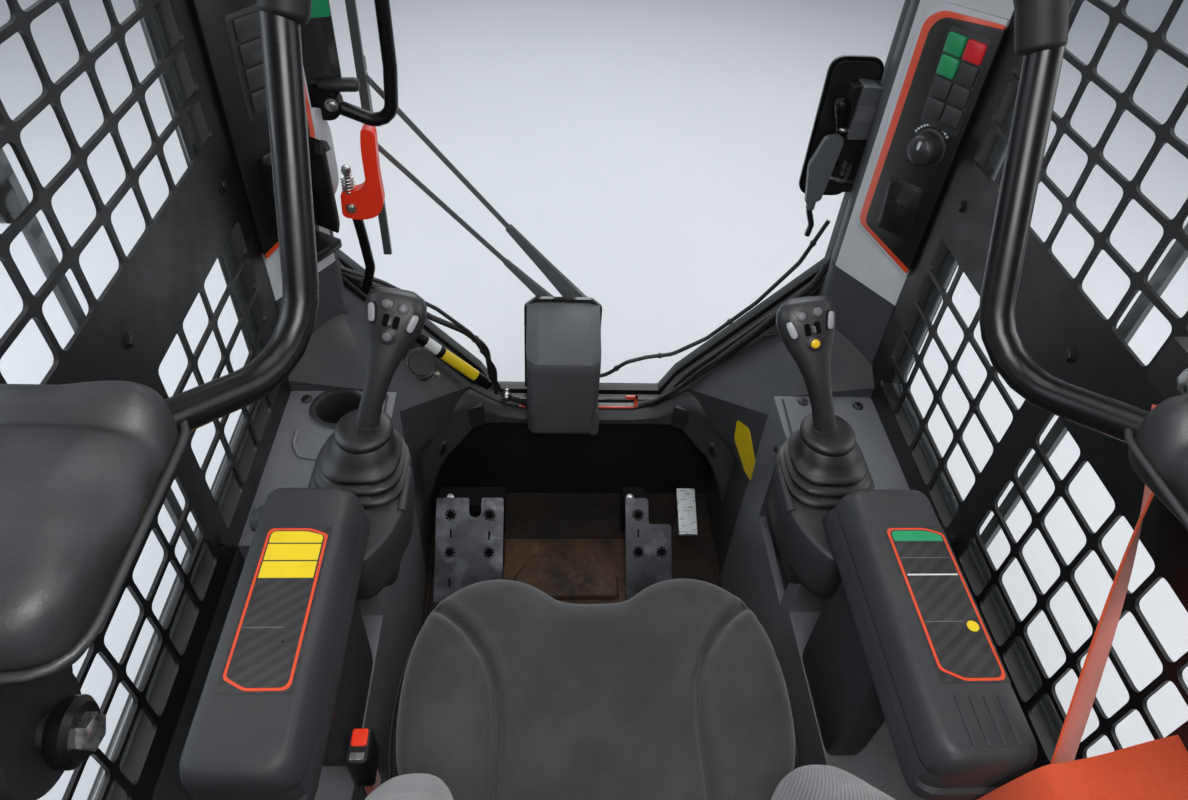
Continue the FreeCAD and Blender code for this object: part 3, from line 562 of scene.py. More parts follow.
def make_studio():
    scene = bpy.context.scene
    scene.view_settings.view_transform = "Standard"
    world = bpy.data.worlds.new("studio")
    scene.world = world
    world.use_nodes = True
    tree = world.node_tree
    seen, dim = tree.nodes["Background"], tree.nodes.new("ShaderNodeBackground")
    for node, colour, strength in ((seen, (0.62, 0.64, 0.67, 1.0), 1.0), (dim, (0.78, 0.86, 1.0, 1.0), 0.3)):
        node.inputs["Color"].default_value = colour
        node.inputs["Strength"].default_value = strength
    pick, ray = tree.nodes.new("ShaderNodeMixShader"), tree.nodes.new("ShaderNodeLightPath")
    shown = ray.outputs["Is Camera Ray"]
    for kind in ("Is Glossy Ray", "Is Transmission Ray"):
        either = tree.nodes.new("ShaderNodeMath")
        either.operation = "MAXIMUM"
        tree.links.new(shown, either.inputs[0])
        tree.links.new(ray.outputs[kind], either.inputs[1])
        shown = either.outputs[0]
    tree.links.new(shown, pick.inputs[0])
    tree.links.new(dim.outputs[0], pick.inputs[1])
    tree.links.new(seen.outputs[0], pick.inputs[2])
    tree.links.new(pick.outputs[0], tree.nodes["World Output"].inputs["Surface"])
    mesh = bpy.data.meshes.new("floor")
    reach = 9.0
    mesh.from_pydata([(-reach, -reach, 0), (reach, -reach, 0), (reach, reach, 0), (-reach, reach, 0)], [], [(0, 1, 2, 3)])
    ground = bpy.data.objects.new("floor", mesh)
    bpy.context.collection.objects.link(ground)
    s = Shader("floor_pale", (0.56, 0.57, 0.58), 0.8)
    s.tint(s.range(s.noise(1.2, 4.0), 0.35, 0.75, 0.0, 0.5), (0.6, 0.61, 0.62))
    s.bump(s.noise(60.0, 3.0), 0.05, 1.0)
    mesh.materials.append(s.done())
    area_light("front_window", (0.3, 3.0, 3.0), (0.0, 0.2, 0.6), 2.6, 80.0, (0.95, 0.98, 1.0))
    area_light("right_side", (2.6, 0.1, 1.9), (0.0, 0.1, 0.8), 1.8, 48.0)
    area_light("left_side", (-2.6, 0.3, 1.9), (0.0, 0.1, 0.8), 1.8, 55.0, (0.85, 0.93, 1.0))
    area_light("roof_hatch", (0.0, -0.2, 3.2), (0.0, 0.0, 0.4), 2.6, 75.0)
    area_light("rear", (0.0, -3.0, 2.4), (0.0, 0.0, 0.8), 2.2, 50.0)
    area_light("cab_lamp", (0.0, -0.42, 1.43), (0.0, 0.3, 0.5), 0.3, 4.6)


make_camera()
make_studio()


# Structure: the CAD's own solids with paint, soft edges and grain

KEPT = {
    "frame": ("base_frame", "rear_pillars", "front_pillars", "header", "front_panel", "door_frame", "door_hinges",
              "bar_pivots", "bar_arms", "door_seal"),
    "shell": ("side_panels", "quarters", "roof", "rear_wall"),
    "floor": ("floor_pan",),
    "trim": ("sloping_trim_left", "sloping_trim_right"),
    "shelf": ("console_left", "console_right"),
    "glass": ("side_windows", "roof_window", "rear_window", "door_glass"),
    "bright": ("foot_pedal",),
    "rubber": ("wiper_blade",),
}


def dress_cad():
    for look, nodes in KEPT.items():
        for name in nodes:
            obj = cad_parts[name]
            if not obj.material_slots:
                obj.data.materials.append(None)
            for slot in obj.material_slots:
                slot.material = LOOK[look]
            if look != "glass":
                mod = obj.modifiers.new("soft_edges", "BEVEL")
                mod.width = (4.0 if look in ("trim", "shelf") else 2.5) * MM
                mod.segments = 3
                mod.limit_method = "ANGLE"
                mod.angle_limit = math.radians(28)
                mod.use_clamp_overlap = True


# Side screens

PLATE_T = 4.0
HOLE_BAR = 6.0
HOLE_R = 8.5


def hole_field(heap, x, along, up, columns, rows):
    """A punched field in a plate: every cell is a ring of faces round one hole with rounded corners."""
    (a0, a1), (b0, b1) = along, up
    wide, tall = (a1 - a0) / columns, (b1 - b0) / rows
    half = HOLE_BAR / 2.0
    for column in range(columns):
        for row in range(rows):
            a, b = a0 + column * wide, b0 + row * tall
            outer = [(a, b), (a + wide, b), (a + wide, b + tall), (a, b + tall)]
            inner = [(a + half, b + half), (a + wide - half, b + half),
                     (a + wide - half, b + tall - half), (a + half, b + tall - half)]
            steps = 4
            hole = rounded(inner, HOLE_R, steps)
            side = len(hole) // 4
            verts = [(x + t, p, q) for t in (0.0, PLATE_T) for p, q in outer + hole]
            n = 4 + len(hole)
            faces = []
            for k in range(4):
                own = [4 + k * side + i for i in range(side)]
                faces += [(k, own[i], own[i + 1]) for i in range(side - 1)]
                faces.append((k, own[-1], 4 + (k + 1) * side % len(hole), (k + 1) % 4))
            back = [tuple(i + n for i in reversed(face)) for face in faces]
            wall = [(4 + i, 4 + (i + 1) % len(hole), n + 4 + (i + 1) % len(hole), n + 4 + i) for i in range(len(hole))]
            heap.add(verts, faces + back + wall)


def side_screen(side):
    name = side_name("side_screen", side)
    lo, hi = node_box(name)
    x = min(abs(lo.x), abs(hi.x))
    ring, rib_front, rib = 35.0, 309.0, 34.0
    band = (850.0, 948.0)
    y0, y1, z0, z1 = lo.y + ring, hi.y - ring, lo.z + ring, hi.z - ring
    rib_y = hi.y - rib_front
    heap = Heap()
    hole_field(heap, x, (y0, y1), (band[1], z1), 10, 11)
    hole_field(heap, x, (y0, rib_y - rib), (z0, band[0]), 5, 5)
    hole_field(heap, x, (rib_y, y1), (z0, band[0]), 4, 5)
    heap.add(*box((x, y0, band[0]), (x + PLATE_T, y1, band[1])))
    heap.add(*box((x, rib_y - rib, z0), (x + PLATE_T, rib_y, band[0])))
    heap.add(*box((x - 3, y0, band[0] + 6), (x, y0 + 90, band[0] + 26)))
    for y, z in ((y0 + 20, z1 - 25), (rib_y - rib / 2, band[0] + 50), (y1 - 20, band[0] + 50), (rib_y - rib / 2, z0 + 12)):
        bolt(heap, (x, y, z), (-1, 0, 0), 6.0, 4.5)
    outer = x + 40.0
    for a, b in (((x, lo.y, lo.z), (outer, y0, hi.z)), ((x, y1, lo.z), (outer, hi.y, hi.z)),
                 ((x, y0, lo.z), (outer, y1, z0)), ((x, y0, z1), (outer, y1, hi.z))):
        heap.add(*box(a, b))
    if side < 0:
        heap = heap.mirrored()
    obj = heap.make(name + "_punched", "mesh", slot="frame_black", replaces=name)
    soften(obj, 0.9, 2, 40.0)


# Seat

WELT = ((196, 96), (160, 62), (135, 27), (121, -10), (116, -55), (115, -100), (116, -150))
CUSHION_OUTLINE = ((0, 124), (46, 125), (66, 138), (92, 152), (132, 159), (176, 148), (212, 120), (232, 76),
                   (243, 22), (245, -30), (240, -86), (226, -122), (204, -160), (196, -256), (0, -258))


def mirror_outline(half):
    return [(x, y) for x, y in half] + [(-x, y) for x, y in reversed(half) if x > 0]


def smooth_outline(points, rounds=2):
    """Corner cutting, which leaves a soft closed outline."""
    for _ in range(rounds):
        cut = []
        for here, ahead in zip(points, points[1:] + points[:1]):
            a, b = Vector(here), Vector(ahead)
            cut += [tuple(a.lerp(b, 0.25)), tuple(a.lerp(b, 0.75))]
        points = cut
    return points


def pillow(name, outline, lift, heights, look, slot, replaces, body="cab", puff=8.0, voxel=6.0, after=None,
           marks=None):
    """A padded piece: a slab with drawn-in sides, inflated by a cloth run, then shaped by after(point)."""
    rings = []
    for height, inset in heights:
        centre = Vector((sum(p[0] for p in outline), sum(p[1] for p in outline))) / len(outline)
        ring = []
        for p in outline:
            arm = Vector(p) - centre
            ring.append(lift(*(centre + arm * (1.0 - inset / arm.length)), height))
        rings.append(ring)
    verts, faces = loft(rings)
    obj = piece(name, verts, faces, look, body=body, slot=slot, replaces=replaces)
    size = obj.modifiers.new("remesh", "REMESH")
    size.mode = "VOXEL"
    size.voxel_size = voxel * MM
    apply_modifiers(obj)
    inflate(obj, puff)
    relax = obj.modifiers.new("relax", "SMOOTH")
    relax.iterations = 6
    relax.factor = 0.6
    fine = obj.modifiers.new("fine", "SUBSURF")
    fine.levels = fine.render_levels = 1
    apply_modifiers(obj)
    if after:
        for vertex in obj.data.vertices:
            vertex.co = Vector(after(vertex.co / MM)) * MM
    for polygon in obj.data.polygons:
        polygon.use_smooth = True
        if marks:
            polygon.material_index = marks(polygon.center / MM)
    return obj


def apply_modifiers(obj):
    graph = bpy.context.evaluated_depsgraph_get()
    made = bpy.data.meshes.new_from_object(obj.evaluated_get(graph), depsgraph=graph)
    old = obj.data
    obj.modifiers.clear()
    obj.data = made
    made.name = old.name
    bpy.data.meshes.remove(old)


def inflate(obj, cap):
    """Cloth pressure swells the pad for a few frames, and no point moves further than cap."""
    rest = [v.co.copy() for v in obj.data.vertices]
    scene = bpy.context.scene
    mod = obj.modifiers.new("swell", "CLOTH")
    mod.settings.use_pressure = True
    mod.settings.uniform_pressure_force = 4.0
    mod.settings.effector_weights.gravity = 0.0
    mod.settings.quality = 4
    mod.point_cache.frame_start, mod.point_cache.frame_end = 1, 20
    for number in range(1, 21):
        scene.frame_set(number)
    apply_modifiers(obj)
    scene.frame_set(1)
    for vertex, start in zip(obj.data.vertices, rest):
        move = vertex.co - start
        if move.length > cap * MM:
            vertex.co = start + move.normalized() * cap * MM


def line_distance(point, line):
    """Distance from a 2D point to a polyline, and the signed side it lies on."""
    best, sign = 1e9, 1.0
    for a, b in zip(line, line[1:]):
        a, b = Vector(a), Vector(b)
        along = b - a
        t = max(0.0, min(1.0, (point - a).dot(along) / along.length_squared))
        gap = point - (a + along * t)
        if gap.length < best:
            best, sign = gap.length, math.copysign(1.0, along.x * gap.y - along.y * gap.x)
    return best, sign


def hump(distance, width):
    return math.exp(-(distance / width) ** 2)


def seat_cushion():
    lo, hi = node_box("seat_cushion")
    top = hi.z

    def after(p):
        if p.z < top - 45:
            return p
        near, sign = line_distance(Vector((abs(p.x), p.y)), WELT)
        fade = min(1.0, (p.z - top + 45) / 25.0)
        outside = 1.0 if sign > 0 else 0.0
        rise = 8.0 * outside * (1.0 - hump(near, 24.0)) - 7.5 * hump(near, 5.0) + 3.5 * hump(near - 13.0, 8.0)
        sag = -7.0 * math.exp(-(p.x / 110.0) ** 2 - ((p.y + 60.0) / 110.0) ** 2)
        return p + Vector((0, 0, (rise + sag) * fade - 4.0))

    outline = smooth_outline(mirror_outline(CUSHION_OUTLINE))
    heights = ((lo.z + 1, 14), (lo.z + 14, 5), (lo.z + 40, 5), (top - 34, 5), (top - 14, 9), (top - 4, 22), (top, 42))
    pillow("seat_cushion_cover", outline, lambda a, b, h: (a, b, h), heights, "cloth", "seat_cloth", "seat_cushion",
           puff=6.0, voxel=6.0, after=after)
    trail = [(x, y, lo.z + 36) for x, y in outline]
    heap = Heap()
    ring = [(Vector(p) * 1.0) for p in trail]
    verts, faces = tube(ring + ring[:1], 2.6, count=8)
    heap.add(verts, faces)
    heap.make("seat_cushion_piping", "grip", slot="seat_cloth", smooth=80.0)


def follow(table, at):
    """The value at a station of a table of (station, value) pairs, straight between them."""
    for (a, low), (b, high) in zip(table, table[1:]):
        if at <= b:
            return low + (high - low) * max(0.0, (at - a) / (b - a))
    return table[-1][1]


BACK_LEAN = ((520, 0), (1015, -100))
BOLSTER = ((500, -6), (525, 30), (555, 68), (590, 88), (630, 92), (670, 84), (730, 48), (800, 2), (880, -58), (950, -92))


def seat_back():
    lo, hi = node_box("seat_back")
    half, wing, deep = hi.x, 92.0, 82.0
    front = lo.y + 185.0
    rings = []
    for z in (380, 440, 490, 515, 540, 570, 600, 635, 670, 710, 760, 820, 880, 940, 985, 1003, 1015):
        y = front + follow(BACK_LEAN, z)
        side = max(y, front + follow(BOLSTER, z))
        w = half - 4.0 - (60.0 if z > 1010 else 22.0 if z > 990 else 0.0)
        right = [(60, y - 6), (half - wing - 12, y), (half - wing + 16, side - 5), (w - 28, side), (w, side - 26), (w, y - deep)]
        ring = [(-x, b) for x, b in reversed(right)] + right
        outline = rounded(ring, [18, 22, 24, 16, 24, 30, 30, 24, 16, 24, 22, 18], 3)
        rings.append([(x, b, z) for x, b in outline])
    obj = piece("seat_back_cover", *loft(rings), ("cloth", "cloth_pale"), slot="seat_cloth", replaces="seat_back")
    size = obj.modifiers.new("remesh", "REMESH")
    size.mode = "VOXEL"
    size.voxel_size = 7.0 * MM
    apply_modifiers(obj)
    inflate(obj, 5.0)
    relax = obj.modifiers.new("relax", "SMOOTH")
    relax.iterations = 8
    relax.factor = 0.6
    fine = obj.modifiers.new("fine", "SUBSURF")
    fine.levels = fine.render_levels = 1
    apply_modifiers(obj)
    for key in ("cloth", "cloth_pale"):
        if LOOK[key].name not in [m.name for m in obj.data.materials if m]:
            obj.data.materials.append(LOOK[key])
    for polygon in obj.data.polygons:
        polygon.use_smooth = True
        polygon.material_index = 1 if abs(polygon.center.x) > (half - wing) * MM else 0


def make_both(name, right, look, left_look=None, replaces=None, **options):
    """The right-hand heap and its mirror image, each with its own CAD nodes."""
    for side, heap, keys in ((1, right, look), (-1, right.mirrored(), left_look or look)):
        nodes = [side_name(base, side) for base in (replaces or ())]
        heap.make(side_name(name, side), keys, replaces=nodes, **options)


# Armrests

ARM_TOP = 720.0
LABEL_Y = (-130.0, 36.0)


def plan_ring(corners, radius, z, inset=0.0, steps=4):
    """A rounded outline in plan at height z, drawn in by inset toward its middle."""
    points = rounded(corners, radius, steps)
    cx = sum(p[0] for p in points) / len(points)
    cy = sum(p[1] for p in points) / len(points)
    ring = []
    for x, y in points:
        reach = max(abs(x - cx), abs(y - cy), 1.0)
        ring.append((x - inset * (x - cx) / reach, y - inset * (y - cy) / reach, z))
    return ring


def arm_form(heap):
    lo, hi = node_box("armrest_right")
    x0, x1, y0, y1 = 256.0, 351.0, -200.0, 95.0
    rings = []
    for z, low, inner, outer, end in ((644, 0, 5, 5, 4), (648, 0, 0, 0, -4), (662, 0, 0, 0, -4), (666, 0, 1, 1, 0),
                                      (680, 0, 0, 0, 0), (683, 0, 2, 0, 0), (687, 0, 2, 0, 0), (690, 0, 0, 0, 0),
                                      (700, 0, 2, 0, 0), (708, 0, 5, 1, 1), (715, 0, 8, 2, 4), (718.5, 0, 11, 4, 7),
                                      (ARM_TOP, 0, 16, 7, 11)):
        slope = (ARM_TOP - z) * 0.16
        corners = [(x0 + inner, y0 + end), (x1 - outer, y0 + end), (x1 - outer, y1 - end + slope),
                   (x0 + inner, y1 - end + slope)]
        rings.append([(x, y, z) for x, y in rounded(corners, [22, 16, 16, 20], 5)])
    heap.add(*loft(rings))
    nose = [(336, 60), (338, 222), (318, 236), (262, 236), (236, 222), (224, 196), (222, 140), (236, 92), (262, 52)]
    heap.add(*loft([plan_ring(nose, 18, z, inset) for z, inset in
                    ((lo.z + 139, 22), (lo.z + 146, 10), (lo.z + 162, 3), (608, 0), (622, 0), (629, 2), (632, 7))]))
    wedge = [(262, 60), (262, 126), (348, 126), (348, 60)]
    heap.add(*loft([plan_ring(wedge, 12, 622, 0), plan_ring([(262, 60), (264, 112), (346, 112), (346, 60)], 12, 660, 0),
                    plan_ring([(262, 60), (266, 98), (344, 98), (344, 60)], 12, 700, 2)]))
    chin = [(240, 98), (304, 98), (304, 196), (240, 196)]
    heap.add(*loft([plan_ring(chin, 16, z, inset) for z, inset in ((lo.z + 104, 16), (lo.z + 108, 8), (520, 3), (570, -6))]))
    foot = [(281, -70), (326, -70), (326, 70), (281, 70)]
    heap.add(*loft([plan_ring(foot, 10, 401, 2), plan_ring(foot, 10, 420, 0), plan_ring(foot, 10, 560, -2),
                    plan_ring(foot, 14, 646, -8)]))
    rim = [(230, 128, 628), (230, 190, 630), (250, 222, 630), (300, 232, 630), (330, 214, 630)]
    heap.add(*tube(rim, 6.0, bend=22, count=12))


def decal(x0, x1, bands, spots=()):
    """A blank label on an armrest: orange edge with two cut corners, black field, thin coloured bands and spots."""
    heap = Heap()
    y0, y1 = LABEL_Y

    def flat(points, low, high, mark):
        heap.add(*lifted(points, ARM_TOP + low, ARM_TOP + high, lambda a, b, h: (a, b, h)), mark)

    def outline(inset):
        a, b, c, d = x0 + inset, y0 + inset, x1 - inset, y1 - inset
        cut = 1.0 - inset * 0.04
        corners = [(a, b + 11 * cut), (a + 20 * cut, b), (c, b), (c, d - 7 * cut), (c - 18 * cut, d), (a, d)]
        return rounded(corners, [4, 4, 8, 4, 4, 7], 4)

    def at(across, along):
        return x0 + 4.0 + across * (x1 - x0 - 8.0), y0 + 4.0 + along * (y1 - y0 - 8.0)

    flat([(x0 - 2, y0 - 2), (x1 + 2, y0 - 2), (x1 + 2, y1 + 2), (x0 - 2, y1 + 2)], -0.5, 0.35, 0)
    flat(outline(0.0), 0.0, 0.7, 1)
    flat(outline(2.6), 0.0, 1.0, 0)
    for (a, b, c, d), mark in bands:
        (ax, ay), (cx, cy) = at(a, b), at(c, d)
        radii = [1.5, 1.5, 6.0, 6.0] if d == 1.0 else 0.3
        corners = [(ax, ay), (cx, ay), (cx, cy), (ax, cy)]
        if d == 1.0:
            corners = [(ax, ay), (cx, ay), (cx, cy - 5), (cx - 16, cy), (ax, cy)]
            radii = [0.5, 0.5, 3, 3, 5]
        flat(rounded(corners, radii, 3), 0.0, 1.3, mark)
    for across, along, radius, mark in spots:
        flat([(p + at(across, along)[0], q + at(across, along)[1]) for p, q in oval(radius, radius, 2.0, 24)], 0.0, 1.4, mark)
    return heap


def armrests():
    right = Heap()
    arm_form(right)
    left = right.mirrored()
    for rib in range(4):
        x = 290.0 + rib * 13.0
        right.add(*loft([plan_ring([(x, -188), (x + 6, -188), (x + 6, -142), (x, -142)], 3, z, inset)
                         for z, inset in ((ARM_TOP - 2, 0), (ARM_TOP + 0.8, 0.4), (ARM_TOP + 1.5, 2))]))
    left.add(*turned([(15, 0), (15, 5), (12, 7), (12, 11), (9, 13)], (-349, 62, 700), (-1, 0, 0), 24))
    for side, heap in ((1, right), (-1, left)):
        name = side_name("armrest", side)
        heap.make(name + "_shell", "arm", slot="trim_dark", replaces=name, edge=1.2, smooth=38.0)
    looks = ("black", "orange", "yellow", "green", "white", "button")
    bands = [((0, 0.92, 1, 1), 3), ((0, 0.79, 1, 0.795), 5), ((0, 0.662, 1, 0.672), 4), ((0, 0.34, 0.72, 0.346), 5)]
    decal(286.0, 345.0, bands, ((0.86, 0.31, 5.6, 2),)).make("armrest_label_right", looks, slot="trim_dark")
    bands = [((0, 0.915, 1, 1), 2), ((0, 0.79, 1, 0.905), 2), ((0, 0.665, 1, 0.78), 2), ((0, 0.34, 0.7, 0.346), 5)]
    decal(-334.0, -276.0, bands).make("armrest_label_left", looks, slot="trim_dark")


# Joysticks and their bellows

STICK = ((270, 197, 692, 14, 14), (267, 200, 708, 13, 13), (262, 206, 726, 12.5, 12.5), (255, 214, 746, 13, 13),
         (249, 222, 764, 15, 14.5), (243, 233, 781, 20, 16), (238.5, 242, 794, 26.5, 17.5), (234, 250.5, 808, 32, 19),
         (230.5, 258, 820, 34, 19), (228, 263.5, 830, 32, 17), (226, 267, 836, 26, 13), (225.5, 268.5, 839, 16, 7.5))


def spine(rows, power=2.5, count=32):
    hubs = [Vector(row[:3]) for row in rows]
    rings = []
    for index, row in enumerate(rows):
        ahead = (hubs[min(index + 1, len(hubs) - 1)] - hubs[max(index - 1, 0)]).normalized()
        across = (Vector((1, 0, 0)) - ahead * ahead.x).normalized()
        out = ahead.cross(across)
        rings.append([hubs[index] + across * a + out * b for a, b in oval(row[3], row[4], power, count)])
    return loft(rings)


def placed(heap, outline, heights, hub, across, up, mark):
    """Stacks outlines drawn in by an inset at each height above a face, with across and up as the face's axes."""
    out = Vector(across).cross(Vector(up)).normalized()
    rings = []
    for height, inset in heights:
        ring = []
        for a, b in outline:
            reach = max(math.hypot(a, b), 0.1)
            k = 1.0 - inset / reach
            ring.append(Vector(hub) + Vector(across) * (a * k) + Vector(up) * (b * k) + out * height)
        rings.append(ring)
    heap.add(*loft(rings), mark)


def joysticks():
    right = Heap()
    verts, faces = spine(STICK)
    right.add(verts, faces)
    tree = BVHTree.FromPolygons([Vector(v) for v in verts], faces)
    low, high = Vector(STICK[4][:3]), Vector(STICK[9][:3])
    ahead = (high - low).normalized()
    across = (Vector((1, 0, 0)) - ahead * ahead.x).normalized()
    facing = across.cross(ahead)
    middle = Vector(STICK[7][:3])

    def face_at(u, v):
        start = middle + across * u + ahead * v + facing * 80.0
        spot, normal, _, _ = tree.ray_cast(start, -facing)
        side = (across - normal * across.dot(normal)).normalized()
        return spot, side, normal.cross(side)

    def knob(outline, u, v, heights, mark, turn=0.0):
        spot, side, rise = face_at(u, v)
        c, s = math.cos(turn), math.sin(turn)
        placed(right, [(a * c - b * s, a * s + b * c) for a, b in outline], heights, spot, side, rise, mark)

    round_one = oval(5.0, 5.0, 2.0, 20)
    for u, v in ((-9.5, 20), (9, 21)):
        knob(oval(6.6, 6.6, 2.0, 24), u, v, ((-2, 0), (0.7, 0), (1.0, 1.2)), 4)
        knob(round_one, u, v, ((-2, 0), (2.4, 0), (3.2, 1.2), (3.4, 3.0)), 1)
    for u, v, turn in ((-22, 7, 0.22), (22, 8, -0.28)):
        knob(oval(5.6, 12, 3.2, 28), u, v, ((-2, 0), (0.8, 0), (1.2, 1.5)), 4, turn)
        knob(oval(4.0, 10, 3.4, 28), u, v, ((-2, 0), (2.2, 0), (3.0, 1.5)), 2, turn)
    # These small slots are flat near-black patches on the grip: painted shade, with no opening cut.
    for u in (-5.8, 5.8):
        knob(rounded([(-3.2, -7), (3.2, -7), (3.2, 7), (-3.2, 7)], 1.5, 2), u, 3.5, ((-2, 0), (0.6, 0)), 5)
    knob(rounded([(-3.5, -2.6), (3.5, -2.6), (3.5, 2.6), (-3.5, 2.6)], 1, 2), 0, 3.5, ((-2, 0), (0.6, 0)), 5)
    knob(rounded([(-2.3, -5.7), (2.3, -5.7), (2.3, 2.2), (-2.3, 2.2)], 1.4, 3), 0, 5, ((-2, 0), (6, 0.4), (8, 1.4)), 1)
    knob(oval(9.8, 9.8, 2.0, 28), 0, -13.5, ((-2, 0), (0.5, 0), (0.8, 1.2)), 4)
    knob(oval(7.6, 7.6, 2.0, 28), 0, -13.5, ((-2, 0), (1.0, 0), (1.6, 1.4)), 0)
    knob(round_one, 0, -13.5, ((-2, 0), (3.2, 0), (4.0, 1.2), (4.2, 3.0)), 3)
    trigger = Vector(STICK[6][:3]) - facing * 17.0
    placed(right, rounded([(-6, -11), (6, -11), (6, 11), (-6, 11)], 5, 4), ((0, 0), (8, 1), (11, 4)), trigger, -across, ahead, 1)
    right.add(*turned([(16.5, 4), (17, 8), (14.5, 11.5), (13.2, 13)], STICK[0][:3], ahead, 28), 0)
    make_both("joystick_grip", right, ("grip", "button", "rocker", "yellow_button", "panel", "hole_shade"),
              ("grip", "button", "rocker", "button", "panel", "hole_shade"), replaces=("joystick",), slot="trim_dark", smooth=42.0)


BELLOWS = ((616, 50, 4.0), (620, 57, 4.0), (626, 58, 4.0), (629, 55, 3.6), (631, 51, 3.4), (634, 51, 3.4), (637, 55, 3.4),
           (641, 55, 3.3), (643, 51, 3.2), (644.5, 47, 3.0), (647, 47, 3.0), (649.5, 50.5, 3.0), (653, 50.5, 3.0),
           (655, 47, 2.8), (656.5, 43, 2.7), (659, 43, 2.7), (661.5, 46, 2.7), (664.5, 46, 2.6), (667, 42.5, 2.5),
           (669, 40, 2.4), (677, 36.5, 2.3), (687, 32.5, 2.2), (689, 31, 2.1), (690.5, 32.5, 2.0), (694, 33.5, 2.0),
           (698, 32.5, 2.0), (700.5, 28, 2.0), (701.7, 22, 2.0), (702, 16, 2.0), (702, 8, 2.0))


def boots():
    heap = Heap()
    foot, top = Vector((287, 177)), Vector((272, 196))
    low, high = BELLOWS[0][0], BELLOWS[-1][0]
    for side in (1, -1):
        rings = []
        for z, radius, power in BELLOWS:
            hub = foot.lerp(top, (z - low) / (high - low))
            ring = [(hub.x + a, hub.y + b, z) for a, b in oval(radius, radius, power, 48)]
            rings.append(ring if side > 0 else [(-x, y, zz) for x, y, zz in ring])
        heap.add(*loft(rings))
    heap.make("boots_bellows", "rubber", slot="soft_black", replaces="boots", smooth=60.0)


# Seat bar

def seat_bar():
    heap, sleeve = Heap(), Heap()
    half = [(260, -156, 1067), (211, -79, 1041), (210, 9, 1222), (120, 130, 1386)]
    path = half + [(-x, y, z) for x, y, z in reversed(half)]
    heap.add(*tube(path, 10.0, bend=58, count=32))
    heap.make("bar_tube_bent", "gloss", body="seat_bar", slot="gloss_black", replaces="bar_tube", smooth=60.0)
    for side in (1, -1):
        route = [(side * 208.5, 3, 1208), (side * 204, 17, 1233), (side * 165, 70, 1304), (side * 128, 119, 1371)]
        verts, faces = tube(route, 13.2, bend=50, count=28)
        sleeve.add(verts, faces)
    sleeve.make("bar_sleeves", "sleeve", body="seat_bar", slot="soft_black", edge=4.0, smooth=50.0)


def bar_pads():
    lo, hi = node_box("bar_pads")
    inner = 246.0
    outline = rounded([(inner, lo.y), (hi.x, lo.y), (hi.x, hi.y - 10), (inner, hi.y)], [26, 22, 20, 26], 5)
    mid = (lo.z + hi.z) / 2.0
    heights = ((lo.z + 4, 12), (lo.z + 10, 4), (mid, 2), (hi.z - 12, 2), (hi.z - 3, 5), (hi.z + 2, 13))
    for side in (1, -1):
        def lift(a, b, h, side=side):
            return (side * a, b + 4.0, h + 4.0 + (b - lo.y) * -0.01)

        def after(p, side=side):
            roll = 5.0 * hump(p.y - (hi.y - 16), 11.0) - 5.0 * hump(p.y - (hi.y - 36), 6.0)
            dent = 6.0 * (hump(p.y - (lo.y + 44), 24.0) + hump(p.y - (lo.y + 96), 20.0))
            fade = hump(abs(p.x) - inner, 10.0) * hump(p.z - mid + 2, 16.0)
            return p + Vector((side * dent * fade, 0, roll if p.z > mid else 0.0))

        name = side_name("bar_pad", side)
        pillow(name, outline, lift, heights, "vinyl", "soft_black", "bar_pads", body="seat_bar", puff=5.0, voxel=5.0,
               after=after)
        seam = Heap()
        trail = [lift(a, b, mid - 2) for a, b in outline]
        seam.add(*tube([Vector(p) for p in trail + trail[:1]], 2.2, count=8))
        seam.make(name + "_seam", "grip", body="seat_bar", slot="soft_black", smooth=80.0)


# Front: fascia, trims, pillar panels

# Half of the fascia from its middle outward: x, front edge, top and bottom.
FASCIA = ((0, 566, 345, 318), (100, 566, 345, 318), (140, 564, 356, 319), (172, 560, 377, 321), (190, 554, 391, 318),
          (203, 546, 399, 306), (220, 531, 402, 292), (237, 515, 394, 284), (250, 503, 380, 264), (266, 495, 366, 224),
          (280, 490, 352, 172))
SILL_EDGE = 587.0


